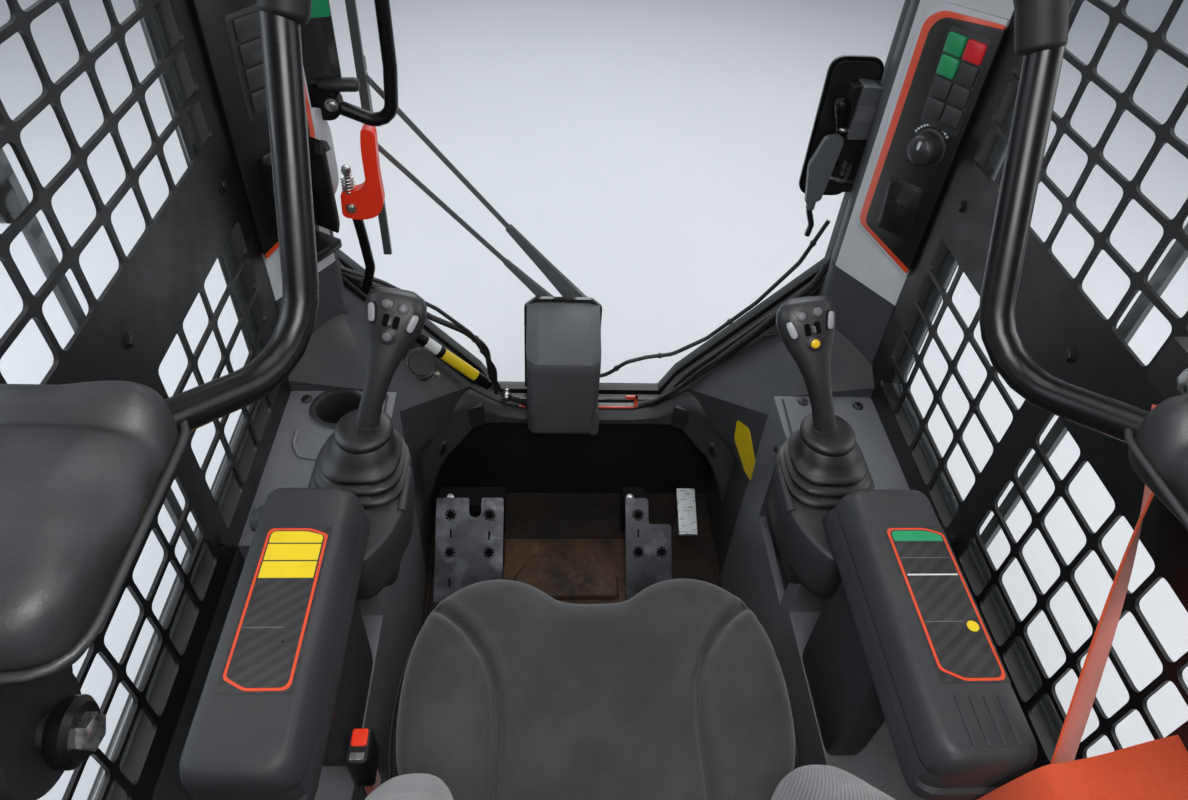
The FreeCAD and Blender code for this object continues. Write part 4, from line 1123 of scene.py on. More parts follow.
def fascia():
    heap = Heap()
    rows = [(-x, y, t, b) for x, y, t, b in reversed(FASCIA[1:])] + list(FASCIA)
    lip, sill = [], []
    for x, y, top, bottom in rows:
        drop = min(12.0, (top - bottom) * 0.32)
        section = rounded([(602, top - 3), (y + 14, top), (y, top - drop), (y + 1.5, (top + bottom) / 2.0), (y + 1, bottom + drop * 0.7),
                           (y + 10, bottom), (602, bottom)], [1, 9, 7, 12, 6, 6, 1], 3)
        lip.append([(x, a, b) for a, b in section])
        if abs(x) < 210:
            sill.append([(x, a, b) for a, b in ((601.5, top + 2), (SILL_EDGE, top + 1.2), (SILL_EDGE - 1.5, top - 3), (601.5, top - 4))])
    heap.add(*loft(lip), 0)
    heap.add(*loft(sill), 1)
    for side in (1, -1):
        across, up = Vector((0.85, side * -0.5, 0)).normalized(), Vector((side * -0.25, 0.1, 0.96)).normalized()
        for outline, deep, mark in ((oval(9, 17, 3.0, 28), 2.6, 0), (oval(5.5, 13, 3.0, 28), 3.0, 1)):
            placed(heap, outline, ((-6, 0), (deep - 0.8, 0), (deep, 1.0)), (side * 243, 510, 318), across, up, mark)
        # A darker patch sits on the lip's face at the recess: painted shade for a hollow that is not cut into the lip.
        recess_shade = [(-15, -24), (10, -24), (15, 4), (15, 24), (-15, 24)]
        placed(heap, rounded([(a * side, b) for a, b in recess_shade][::side], 6, 3), ((-8, 0), (-0.8, 0), (0.4, 1)),
               (side * 184, 554.5, 353), Vector((0.93, side * -0.36, 0)).normalized(), Vector((0, 0.05, 1)).normalized(), 2)
    heap.make("fascia_lip", ("trim", "panel", "grip"), slot="trim_grey", replaces="fascia", smooth=50.0)
    strip = Heap()
    y0, y1, top = SILL_EDGE, 599.5, FASCIA[0][2]
    for lo, hi in (((-124, y0, top), (-96, y0 + 6, top + 4)), ((-124, y0 + 9, top), (-96, y1, top + 4)),
                   ((30, y0, top), (109, y0 + 4, top + 4)), ((103, y0, top), (109, y1, top + 4)),
                   ((103, y1 - 3, top), (109, y1 + 2, top + 22)), ((86, y1 - 3, top + 15), (109, y1 + 2, top + 22))):
        strip.add(*box(lo, hi), 0)
    strip.add(*box((30, y0 + 4, top), (103, y1, top + 3.4)), 1)
    strip.make("sill_labels", ("orange", "black"), slot="trim_grey", edge=0.6)


FOOT = Vector((430.0, 430.0))
ALONG = Vector((-0.526, 0.850))
OUT = Vector((-0.850, -0.526))


def on_pillar(side, along, z, out=0.0):
    p = FOOT + ALONG * along + OUT * out
    return (side * p.x, p.y, z)


def panel_slab(heap, side, outline, low, high, mark, inset=0.0):
    cx = sum(a for a, _ in outline) / len(outline)
    cz = sum(b for _, b in outline) / len(outline)
    rings = []
    for out, draw in ((low, 0.0), (high - inset * 0.6, 0.0), (high, inset)):
        rings.append([on_pillar(side, a - draw * math.copysign(1, a - cx) * min(1, abs(a - cx) / 4), b
                                - draw * math.copysign(1, b - cz) * min(1, abs(b - cz) / 4), out) for a, b in outline])
    heap.add(*loft(rings), mark)


def pillar_trims():
    heap = Heap()
    lo, hi = node_box("pillar_trims")
    corners = [(430, 430), (430, 600), (388, 600), (365, 535)]
    for side in (1, -1):
        cap = 709.0 if side > 0 else 697.0
        outline = rounded(corners, [4, 4, 6, 12], 4)
        for z0, z1, mark in ((lo.z, cap - 1.5, 0), (cap, hi.z, 1)):
            start = len(heap.faces)
            heap.add(*loft([[(side * x, y, z) for x, y in outline] for z in (z0, z1)]), mark)
            for index in range(start, len(heap.faces)):
                ring = [heap.verts[i] for i in heap.faces[index]]
                if len(ring) == 4 and min(abs(x) for x, _, _ in ring) < 390 and min(y for _, y, _ in ring) > 527:
                    heap.marks[index] = 0
    heap.make("pillar_trims_two_tone", ("trim", "pale"), slot="trim_grey", replaces="pillar_trims", edge=1.5, smooth=40.0)


def key(heap, side, along, z, wide, tall, mark, base=8.0):
    a, b = along, z
    outline = rounded([(a, b), (a + wide, b), (a + wide, b + tall), (a, b + tall)], 3.0, 3)
    panel_slab(heap, side, outline, base - 1.0, base + 4.5, mark, 1.8)


def keypad():
    heap = Heap()
    lo, hi = node_box("keypad_right")
    z0, z1 = lo.z, hi.z
    outer = [(1, z0 - 10), (105, z0 + 21), (105, z1 - 16), (84, z1 + 4), (1, z1 + 9)]
    line = [(1, z0 - 5), (99, z0 + 25), (99, z1 - 19), (81, z1 - 3), (1, z1 + 4)]
    face = [(-1.5, z0 + 3), (88, z0 + 29), (88, z1 - 24), (76, z1 - 9), (-1.5, z1)]
    panel_slab(heap, 1, rounded(outer, [2, 14, 14, 14, 2], 5), 0.0, 6.0, 1, 1.5)
    panel_slab(heap, 1, rounded(line, [2, 12, 12, 12, 2], 5), 0.0, 7.0, 2, 0.5)
    panel_slab(heap, 1, rounded(face, [2, 10, 10, 10, 2], 5), 0.0, 8.0, 0, 0.8)
    bed = rounded([(4, 960), (59, 960), (62, 1070), (8, 1072)], 5, 3)
    panel_slab(heap, 1, bed, 0.0, 9.2, 3, 1.0)
    wide, tall, gap = 23.5, 22.0, 2.6
    colours = ((4, 5), (4, 3), (3, 3), (3, 3))
    for row, pair in enumerate(colours):
        for column, mark in enumerate(pair):
            along = 6.5 + (1 - column) * (wide + gap) + (3 - row) * 0.9
            key(heap, 1, along, 1044.0 - row * (tall + gap), wide, tall, mark, 9.0)
    hub = on_pillar(1, 34, 935, 8.0)
    out = Vector((OUT.x, OUT.y, 0))
    heap.add(*turned([(23, -1), (23, 0.8), (22, 1.4)], hub, out, 36), 3)
    heap.add(*turned([(20, 0), (19.5, 12), (18, 19), (14.5, 23), (8, 25), (1, 25.5)], hub, out, 36), 6)
    panel_slab(heap, 1, rounded([(31.5, 938), (35, 938), (35, 948), (31.5, 948)], 1, 2), 20.0, 33.5, 1, 0.3)
    for step in range(12):
        turn = math.radians(25 + step * 9.5)
        a, b = 34 + 27.5 * math.cos(turn), 935 + 27.5 * math.sin(turn)
        panel_slab(heap, 1, oval_at(a, b, 1.6, 1.6), 7.0, 8.7, 1)
    pocket = rounded([(14, 812), (70, 806), (76, 880), (20, 884)], 9, 4)
    panel_slab(heap, 1, pocket, 0.0, 8.9, 0, 0.6)
    panel_slab(heap, 1, rounded([(18, 816), (67, 811), (72, 876), (24, 880)], 7, 4), 0.0, 9.2, 7, 0.4)
    heap.make("keypad_right_panel", ("panel", "pale", "orange", "key", "green_key", "red_key", "grip", "seal"),
              slot="panel_black", replaces="keypad_right", smooth=35.0)


def oval_at(a, b, wide, tall, power=2.0, count=12):
    return [(a + p, b + q) for p, q in oval(wide, tall, power, count)]


def switches():
    heap = Heap()
    lo, hi = node_box("switches_left")
    z0, z1 = lo.z, hi.z
    panel_slab(heap, -1, rounded([(1, z0 - 10), (105, z0 + 21), (124, z0 + 112), (124, z1 + 26), (1, z1 + 26)],
                                 [2, 14, 14, 8, 2], 5), -4.0, 6.0, 1, 1.5)
    panel_slab(heap, -1, rounded([(1, z0 - 5), (100, z0 + 25), (120, z0 + 116), (120, z1 + 20), (1, z1 + 20)],
                                 [2, 12, 14, 8, 2], 5), 0.0, 7.0, 2, 0.5)
    panel_slab(heap, -1, rounded([(-1.5, z0 + 3), (90, z0 + 29), (112, z0 + 120), (112, z1 + 15), (-1.5, z1 + 15)],
                                 [2, 10, 14, 8, 2], 5), 0.0, 8.0, 0, 0.8)
    panel_slab(heap, -1, rounded([(27, 940), (83, 946), (79, 1058), (28, 1056)], 5, 3), 0.0, 9.2, 3, 1.0)
    for row in range(4):
        key(heap, -1, 36 - row * 0.4, 1028.0 - row * 26.5, 36.0, 23.5, 3, 9.0)
    panel_slab(heap, -1, rounded([(30, 748), (88, 748), (92, 900), (26, 900)], 8, 4), 0.0, 15.0, 0, 2.0)
    for along, z_low, z_high in ((22, 790, 896), (92, 770, 905)):
        lug = rounded([(along, z_low), (along + 8, z_low + 12), (along + 8, z_high - 14), (along, z_high)], 3, 3)
        panel_slab(heap, -1, lug, 0.0, 44.0, 0, 2.0)
        panel_slab(heap, -1, [(along - 2, z_high - 20), (along + 16, z_high - 20), (along + 12, z_high - 8), (along, z_high - 6)],
                   34.0, 44.0, 3, 1.0)
    panel_slab(heap, -1, rounded([(28, 748), (96, 748), (96, 762), (28, 762)], 4, 3), 0.0, 44.0, 0, 2.0)
    panel_slab(heap, -1, rounded([(60, 826), (84, 826), (84, 852), (60, 852)], 2, 2), 10.0, 16.0, 7, 0.5)
    heap.make("switches_left_panel", ("panel", "pale", "orange", "key", "green_key", "red_key", "grip", "button"),
              slot="panel_black", replaces="switches_left", smooth=35.0)
    fin = Heap()
    outline = [(530, 802), (556, 789), (586, 792), (592, 806), (592, 868), (572, 905), (532, 924)]
    fin.add(*loft([[(-x, y, z) for y, z in rounded(outline, 8, 3)] for x in (370, 358)]), 0)
    fin.make("pillar_fin", "pale", slot="trim_grey", edge=3.0, smooth=30.0)


def side_strip():
    """The tinted strip beside the door opening, with a blank green sign and a cross pin."""
    edge, y0, y1 = -332.0, 589.0, 594.0
    strip = Heap()
    strip.add(*extrude_y(rounded([(-396, 912), (-348, 914), (edge, 934), (edge, 1162), (-396, 1168)], 7, 4), y0, y1))
    strip.make("tinted_strip", "smoke", slot="panel_black", edge=0.8)
    sign = Heap()
    sign.add(*extrude_y(rounded([(-364, 1010), (edge, 1014), (edge, 1052), (-364, 1048)], 2, 2), y0 - 0.8, y0 + 0.5))
    sign.make("sign_blank_green", "green", slot="trim_grey", edge=0.3)
    pin = Heap()
    pin.add(*turned([(5, 0), (8.5, 2), (9, 6), (9, 48), (8, 52), (4, 54)], (-363, 586, 930), (1, 0, 0.04), 20))
    pin.make("strip_pin", "grip", slot="trim_grey", smooth=50.0)


# Door: wiper cover, latch, handle

def extrude_y(outline, low, high):
    """A slab from an outline in x and z, between two y values."""
    return lifted(outline, low, high, lambda a, b, h: (a, h, b))


def extrude_x(outline, low, high):
    return lifted(outline, low, high, lambda a, b, h: (h, a, b))


def wiper_cover():
    lo, hi = node_box("wiper_cover")
    mid, half, fold = (lo.x + hi.x) / 2.0, (hi.x - lo.x) / 2.0, lo.z + 159.0
    rows = ((lo.z - 5, 9, 8, 10), (lo.z - 3, 4, 4, 9), (lo.z + 2, 1, 1, 8), (lo.z + 9, 0, 0, 8), (lo.z + 70, 0, -1, 8),
            (fold - 16, 0, -2, 9), (fold - 7, 0.8, -2, 11), (fold, 4, -2.5, 15), (fold + 5, 11, -3, 20),
            (hi.z - 5, 103, -3.5, 20), (hi.z - 1, 119, 9, 10), (hi.z, 122, 13, 7))
    rings = []
    for z, back, narrow, cut in rows:
        w, y = half - narrow, lo.y + back
        deep = min(cut, hi.y - 2.0 - y)
        section = rounded([(mid - w, hi.y), (mid - w, y + deep), (mid - w + cut, y), (mid + w - cut, y),
                           (mid + w, y + deep), (mid + w, hi.y)], [0, 2.5, 2.5, 2.5, 2.5, 0], 3)
        rings.append([(a, b, z) for a, b in section])
    heap = Heap()
    heap.add(*loft(rings), 0)
    gasket = [(mid - half - 8, lo.z - 3), (mid + half + 8, lo.z - 3), (mid + half + 8, hi.z - 10), (mid + half - 11, hi.z + 7),
              (mid - half + 11, hi.z + 7), (mid - half - 8, hi.z - 10)]
    heap.add(*extrude_y(rounded(gasket, 3, 3), hi.y - 7, hi.y), 1)
    ledge = rounded([(hi.x - 9, lo.z - 4), (hi.x + 2, lo.z - 4), (hi.x + 6, lo.z + 3), (hi.x + 6, lo.z + 36), (hi.x - 1, lo.z + 56),
                     (hi.x - 9, lo.z + 56)], 3, 3)
    heap.add(*extrude_y(ledge, lo.y + 3, hi.y - 8), 0)
    heap.make("wiper_cover_shell", ("cover", "seal"), body="front_door", slot="cover_grey", replaces="wiper_cover", smooth=24.0)


ARM_ROWS = ((-50, 0.3, 20, 9), (0, 0.39, 31, 12))


def wiper_arms():
    """Two parallel arms outside the glass: a tapered channel at the foot, then a thin bar up to the blade."""
    lo, hi = node_box("wiper_arms")
    foot_z, blade_x, depth = lo.z + 14.0, lo.x + 6.0, hi.y
    heap = Heap()
    for (foot_x, joint, wide, narrow), top_z in zip(ARM_ROWS, (hi.z - 120.0, hi.z - 20.0)):
        start, end = Vector((foot_x, 0, foot_z)), Vector((blade_x, 0, top_z))
        ahead = (end - start).normalized()
        across = Vector((ahead.z, 0, -ahead.x))
        for stations in (((-0.02, wide * 0.7, 13), (0.01, wide, 15), (joint * 0.5, (wide + narrow) * 0.46, 13), (joint, narrow, 10)),
                         ((joint * 0.9, 7.5, 7), (0.995, 7.5, 7))):
            rings = []
            for t, width, thick in stations:
                hub, w, y0 = start.lerp(end, t), width / 2.0, depth - 9.0 - thick / 2.0
                rings.append([hub + across * a + Vector((0, y0 + b, 0)) for a, b in
                              ((-w, 0), (w, 0), (w, thick - 3), (w - 2.2, thick), (2.2 - w, thick), (-w, thick - 3))])
            heap.add(*loft(rings), 0)
        heap.add(*turned([(10, 1), (10, 9), (8, 15), (5.5, 17.5)], (foot_x, lo.y, foot_z), (0, 1, 0), 24), 0)
        heap.add(*turned([(6.5, 0), (6.5, 9), (4.5, 11)], (blade_x, hi.y - 11, top_z), (0, 1, 0), 18), 1)
    carrier = rounded([(blade_x - 6, hi.z - 140), (blade_x + 6, hi.z - 140), (blade_x + 6, hi.z), (blade_x - 6, hi.z)], 4, 3)
    heap.add(*extrude_y(carrier, hi.y - 10, hi.y), 0)
    middle = sum(row[0] for row in ARM_ROWS) / 2.0
    plate = [(middle - 41, lo.z), (middle + 41, lo.z), (middle + 41, lo.z + 28), (middle - 41, lo.z + 28)]
    heap.add(*extrude_y(rounded(plate, 8, 4), lo.y, lo.y + 7), 0)
    heap.make("wiper_arm_bars", ("gloss", "chrome"), body="front_door", slot="gloss_black", replaces="wiper_arms", edge=0.6,
              smooth=30.0)


def latch():
    lo, hi = node_box("door_latch")
    heap = Heap()
    plate = rounded([(lo.x, lo.z), (hi.x, lo.z), (hi.x, hi.z), (lo.x, hi.z)], 24, 6)
    heap.add(*extrude_y(plate, hi.y - 5, hi.y), 0)
    inner = rounded([(lo.x + 5, lo.z + 5), (hi.x - 5, lo.z + 5), (hi.x - 5, hi.z - 5), (lo.x + 5, hi.z - 5)], 20, 6)
    heap.add(*extrude_y(inner, hi.y - 10, hi.y), 1)
    body = rounded([(lo.x + 27, lo.z + 22), (hi.x - 5, lo.z + 22), (hi.x - 4, hi.z - 28), (lo.x + 30, hi.z - 30)], 7, 4)
    heap.add(*extrude_y(body, lo.y + 6, hi.y - 8), 1)
    heap.add(*extrude_y(rounded([(360, 872), (397, 874), (397, 946), (364, 948)], 6, 4), lo.y, hi.y - 8), 2)
    heap.add(*extrude_y(rounded([(362, 900), (395.5, 901), (395.5, 922), (363, 922)], 3, 3), lo.y - 1.2, hi.y - 8), 4)
    heap.add(*loft([[(344 + x + k * 2.5, lo.y + 10 + y, 922 - k * 13) for x, y in oval(r, r * 0.8, 2.2, 24)]
                    for k, r in ((-0.5, 3), (-0.35, 8), (0, 11.5), (0.7, 12), (1.6, 10), (2.6, 8), (3.6, 7), (3.8, 3))]), 0)
    paddle = rounded([(326, 768), (347, 776), (357, 868), (352, 878), (330, 874), (316, 830)], 5, 4)
    heap.add(*extrude_y(paddle, lo.y - 2, lo.y + 8), 2)
    heap.add(*tube([(346, lo.y + 10, 886), (352, lo.y + 4, 884), (362, lo.y + 4, 884)], 3.4, bend=4, count=12), 3)
    heap.add(*tube([(352, lo.y + 3, 812), (372, lo.y + 1, 808), (396, lo.y + 4, 806)], 3.6, bend=10, count=14), 3)
    for x, z in ((366, 830), (374, 826)):
        heap.add(*box((x, lo.y + 1, z - 14), (x + 6, lo.y + 9, z + 8)), 3)
    bolt(heap, (356, lo.y + 6, 834), (0, -1, 0), 4.5, 3.5, 0)
    heap.add(*tube([(337, lo.y + 6, 782), (338, lo.y + 10, 752), (350, lo.y + 16, 724), (352, lo.y + 26, 700)], 4.6, bend=18, count=14), 1)
    heap.add(*tube([(337, lo.y + 6, 786), (337, lo.y + 7, 758)], 6.6, count=16), 2)
    heap.make("door_latch_parts", ("gloss", "panel", "cover", "chrome", "button"), body="front_door", slot="panel_black",
              replaces="door_latch", edge=1.2, smooth=38.0)
    lo, hi = node_box("door_frame")
    outside = Heap()
    y = hi.y
    outside.add(*extrude_y(rounded([(352, 820), (404, 820), (404, 900), (352, 900)], 12, 4), y - 14, y + 4))
    outside.add(*tube([(378, y + 2, 838), (378, y + 24, 838), (378, y + 24, 884), (378, y + 2, 884)], 6.0, bend=8, count=14))
    outside.make("door_handle", "grip", body="front_door", slot="panel_black", smooth=45.0)


# Handles at the left front corner, strut, cables

def grab_loop():
    lo, hi = node_box("grab_loop")
    y = (lo.y + hi.y) / 2.0
    heap = Heap()
    path = [(lo.x, y, 924), (-272, y, 881), (-265, y, 960), (-265, y, hi.z - 34), (lo.x, y, hi.z - 9)]
    heap.add(*tube(path, 9.0, bend=24, count=24), 0)
    heap.add(*extrude_y(rounded([(-378, 896), (-344, 892), (-331, 904), (-335, 926), (-376, 932)], 9, 4), y - 12, y + 9), 0)
    bolt(heap, (-343, y - 12, 914), (0, -1, 0), 7.0, 5.0, 1)
    heap.make("grab_loop_tube", ("gloss", "chrome"), slot="gloss_black", replaces="grab_loop", smooth=50.0)


def spring(hub, axis, radius, wire, turns, height):
    axis = Vector(axis).normalized()
    side = axis.orthogonal().normalized()
    across = axis.cross(side)
    points = []
    for step in range(turns * 12 + 1):
        t = 2 * math.pi * step / 12.0
        points.append(Vector(hub) + side * radius * math.cos(t) + across * radius * math.sin(t)
                      + axis * height * step / (turns * 12.0))
    return tube(points, wire, count=8)


def release_lever():
    lo, hi = node_box("release_lever")
    heap = Heap()
    outline = rounded([(-359, 744), (-336, 739), (-310, 744), (-297, 764), (-299, 812), (-296, 872), (-303, 878), (-314, 878),
                       (-318, 850), (-318, 800), (-328, 787), (-356, 784)], [8, 10, 14, 14, 10, 6, 6, 6, 16, 14, 10, 8], 5)
    heap.add(*extrude_y(outline, lo.y, hi.y), 0)
    bolt(heap, (-344, lo.y, 759), (0, -1, 0), 6.0, 5.0, 1)
    stem, up = Vector((-345, lo.y + 8, 772)), (0.02, 0, 1)
    heap.add(*turned([(4.5, 0), (4.5, 36), (6.5, 38), (7, 42), (6, 47), (3, 49)], stem, up, 18), 1)
    heap.add(*spring(stem + Vector((0, 0, 8)), up, 8.0, 1.6, 5, 24), 1)
    heap.add(*tube([(-342, lo.y + 12, 744), (-338, lo.y + 12, 706), (-334, lo.y + 12, 650), (-348, lo.y + 14, 604)], 7.5, bend=30,
                   count=16), 2)
    heap.make("release_lever_parts", ("red", "chrome", "gloss"), slot="red", replaces="release_lever", edge=2.2, smooth=40.0)


def band(start, end, radius, t0, t1, count=24):
    a, b = Vector(start), Vector(end)
    return tube([a.lerp(b, t0), a.lerp(b, t1)], radius, count=count)


def gas_strut():
    low, high = Vector((-132, 590, 370)), Vector((-322, 590, 551))
    heap = Heap()
    heap.add(*band(low, high, 4.5, 0.03, 0.4), 1)
    heap.add(*band(low, high, 9.5, 0.2, 0.95), 0)
    heap.add(*band(low, high, 7.0, 0.15, 0.21), 0)
    for t0, t1, mark in ((0.28, 0.56, 2), (0.6, 0.7, 3)):
        heap.add(*band(low, high, 9.9, t0, t1), mark)
    for end, way in ((low, 1), (high, -1)):
        heap.add(*turned([(3, -9), (6.5, -7), (8.5, -3), (9, 1), (8, 5), (5, 8), (2, 9)], end, (0, -1, 0), 20), 1)
        heap.add(*turned([(4.5, 0), (4.5, 12), (7, 12), (7, 14)], end, (0, 1, 0), 16), 1)
    heap.make("gas_strut_parts", ("gloss", "chrome", "yellow", "white"), slot="steel", replaces="gas_strut", smooth=40.0)


CABLES = (
    ("cab", 5.0, ((-386, 588, 640), (-330, 590, 606), (-252, 592, 548), (-200, 592, 520), (-164, 592, 486), (-158, 592, 420),
                  (-140, 592, 372), (-96, 592, 352))),
    ("cab", 3.4, ((-392, 580, 655), (-320, 584, 622), (-240, 586, 570), (-188, 586, 520), (-150, 586, 440), (-150, 588, 380))),
    ("cab", 4.2, ((402, 590, 668), (330, 590, 566), (262, 592, 478), (196, 592, 412), (150, 592, 366), (112, 592, 350))),
    ("cab", 3.2, ((404, 584, 700), (352, 586, 608), (270, 588, 500), (214, 588, 444), (178, 588, 396), (130, 588, 356))),
    ("cab", 5.6, ((396, 578, 742), (388, 580, 700), (368, 582, 640), (300, 584, 544), (240, 586, 470))),
    ("front_door", 3.6, ((20, 628, 384), (52, 630, 392), (84, 632, 420), (122, 634, 432), (168, 636, 438), (226, 637, 476),
                         (300, 638, 556), (356, 638, 640), (384, 638, 720))),
)


def cables():
    for body in ("cab", "front_door"):
        heap = Heap()
        for own, radius, points in CABLES:
            if own == body:
                heap.add(*tube(points, radius, bend=46, count=14))
                for a, b in zip(points[1:-1:2], points[2::2]):
                    a, b = Vector(a), Vector(b)
                    heap.add(*tube([a.lerp(b, 0.45), a.lerp(b, 0.45) + (b - a).normalized() * 5.0], radius + 1.6, count=14))
        heap.make("cables_" + body, "cable", body=body, slot="soft_black", smooth=60.0)


def beads():
    """Two rubber beads that run round the door opening on the cab's seal."""
    lo, hi = node_box("door_seal")
    outline = [(160, 335), (190, 390), (415, 635), (420, 1480), (-420, 1480), (-415, 635), (-190, 390), (-160, 335)]
    heap = Heap()
    for inset, y, radius in ((4.0, lo.y - 1.0, 5.2), (-6.0, lo.y - 4.0, 4.4), (12.0, lo.y + 5.0, 4.0)):
        cx, cz = 0.0, 900.0
        path = []
        for x, z in rounded(outline, [26, 60, 60, 40, 40, 60, 60, 26], 5):
            arm = Vector((x - cx, z - cz))
            arm *= 1.0 - inset / arm.length
            path.append(Vector((cx + arm.x, y, cz + arm.y)))
        rings = []
        for index, hub in enumerate(path):
            ahead = (path[(index + 1) % len(path)] - path[index - 1]).normalized()
            side = Vector((0, 1, 0)).cross(ahead).normalized()
            rings.append([hub + side * a + Vector((0, 1, 0)) * b for a, b in oval(radius, radius, 2.0, 14)])
        heap.add(*loft(rings, closed=True))
    heap.make("door_seal_beads", "seal", slot="soft_black", smooth=70.0)


# Belt and buckle

def ribbon(points, width, thick, ways):
    """A flat band along points; ways gives the direction of the band's width at each point."""
    path = [Vector(p) for p in points]
    rings = []
    for index, hub in enumerate(path):
        ahead = (path[min(index + 1, len(path) - 1)] - path[max(index - 1, 0)]).normalized()
        across = Vector(ways[index])
        across = (across - ahead * across.dot(ahead)).normalized()
        up = ahead.cross(across)
        section = rounded([(-width / 2, -thick / 2), (width / 2, -thick / 2), (width / 2, thick / 2), (-width / 2, thick / 2)],
                          thick * 0.45, 2)
        rings.append([hub + across * a + up * b for a, b in section])
    return loft(rings)


def curve(points, steps=10):
    """A smooth line through the points."""
    path = [Vector(p) for p in points]
    path = [path[0] * 2 - path[1]] + path + [path[-1] * 2 - path[-2]]
    out = []
    for p0, p1, p2, p3 in zip(path, path[1:], path[2:], path[3:]):
        for step in range(steps):
            t = step / steps
            out.append(0.5 * ((2 * p1) + (p2 - p0) * t + (2 * p0 - 5 * p1 + 4 * p2 - p3) * t * t
                              + (3 * p1 - p0 - 3 * p2 + p3) * t ** 3))
    return out + [path[-2]]


def belt():
    heap = Heap()
    shoulder = curve([(414, -32, 962), (404, -70, 905), (384, -140, 800), (358, -236, 640), (330, -318, 500), (309, -377, 404)])
    count = len(shoulder) - 1
    ways = [Vector((0.15, 1, 0)).lerp(Vector((0.75, 0.6, 0.2)), math.sin(math.pi * k / count)) for k in range(count + 1)]
    heap.add(*ribbon(shoulder, 46.0, 2.4, ways), 0)
    lap = curve([(428, -229, 786), (404, -229, 770), (378, -229, 746), (356, -229, 732), (338, -229, 722), (318, -229, 668),
                 (300, -229, 600), (280, -229, 500), (262, -229, 388)], 6)
    heap.add(*ribbon(lap, 47.0, 2.4, [Vector((0, 1, 0.04))] * len(lap)), 0)
    heap.add(*box((420, -256, 762), (430, -202, 806)), 1)
    heap.add(*box((412, -70, 963), (430, 6, 1003)), 1)
    bolt(heap, (412, -32, 990), (-1, 0, 0), 9.0, 6.0, 2)
    bolt(heap, (420, -229, 796), (-1, 0, 0), 7.0, 5.0, 2)
    heap.add(*box((290, -392, 388), (330, -362, 404)), 1)
    heap.make("belt_webbing", ("belt", "panel", "chrome"), slot="belt_red", replaces="belt_strap", smooth=50.0)


def buckle():
    lo, hi = node_box("belt_buckle")
    heap = Heap()
    corners = [(lo.x - 1, lo.y), (hi.x + 1, lo.y), (hi.x + 1, hi.y), (lo.x - 1, hi.y)]
    heap.add(*loft([plan_ring(corners, 6, z, inset) for z, inset in
                    ((430, 5), (434, 2), (446, 0), (hi.z - 8, 0), (hi.z - 3, 1), (hi.z - 1, 3))]), 0)
    stem = [(lo.x + 6, lo.y + 8), (hi.x - 6, lo.y + 8), (hi.x - 6, hi.y - 8), (lo.x + 6, hi.y - 8)]
    heap.add(*loft([plan_ring(stem, 2, z) for z in (lo.z, 440)]), 3)
    button = [(lo.x + 3, hi.y - 22), (hi.x - 3, hi.y - 22), (hi.x - 3, hi.y - 3), (lo.x + 3, hi.y - 3)]
    heap.add(*loft([plan_ring(button, 3, z, inset) for z, inset in ((hi.z - 6, 0), (hi.z + 0.6, 0), (hi.z + 1.6, 1.2))]), 1)
    heap.add(*box((lo.x + 4, lo.y + 4, hi.z - 3), (hi.x - 4, lo.y + 12, hi.z - 0.6)), 2)
    heap.make("belt_buckle_parts", ("panel", "red", "chrome", "belt"), slot="belt_black", replaces="belt_buckle", edge=1.0)


# Foot plates, floor, consoles

REST_LOW = Vector((340.0, 80.0))
REST_HIGH = Vector((494.0, 200.0))


def on_rest(x, s, out):
    along = (REST_HIGH - REST_LOW).normalized()
    p = REST_LOW + along * s + Vector((-along.y, along.x)) * out
    return (x, p.x, p.y)


def star(x, s, outer=10.5, inner=6.2):
    points = []
    for k in range(16):
        r = outer if k % 2 == 0 else inner
        for turn in (-0.09, 0.09):
            t = 2 * math.pi * k / 16 + turn
            points.append((x + r * math.cos(t), s + r * math.sin(t)))
    return points


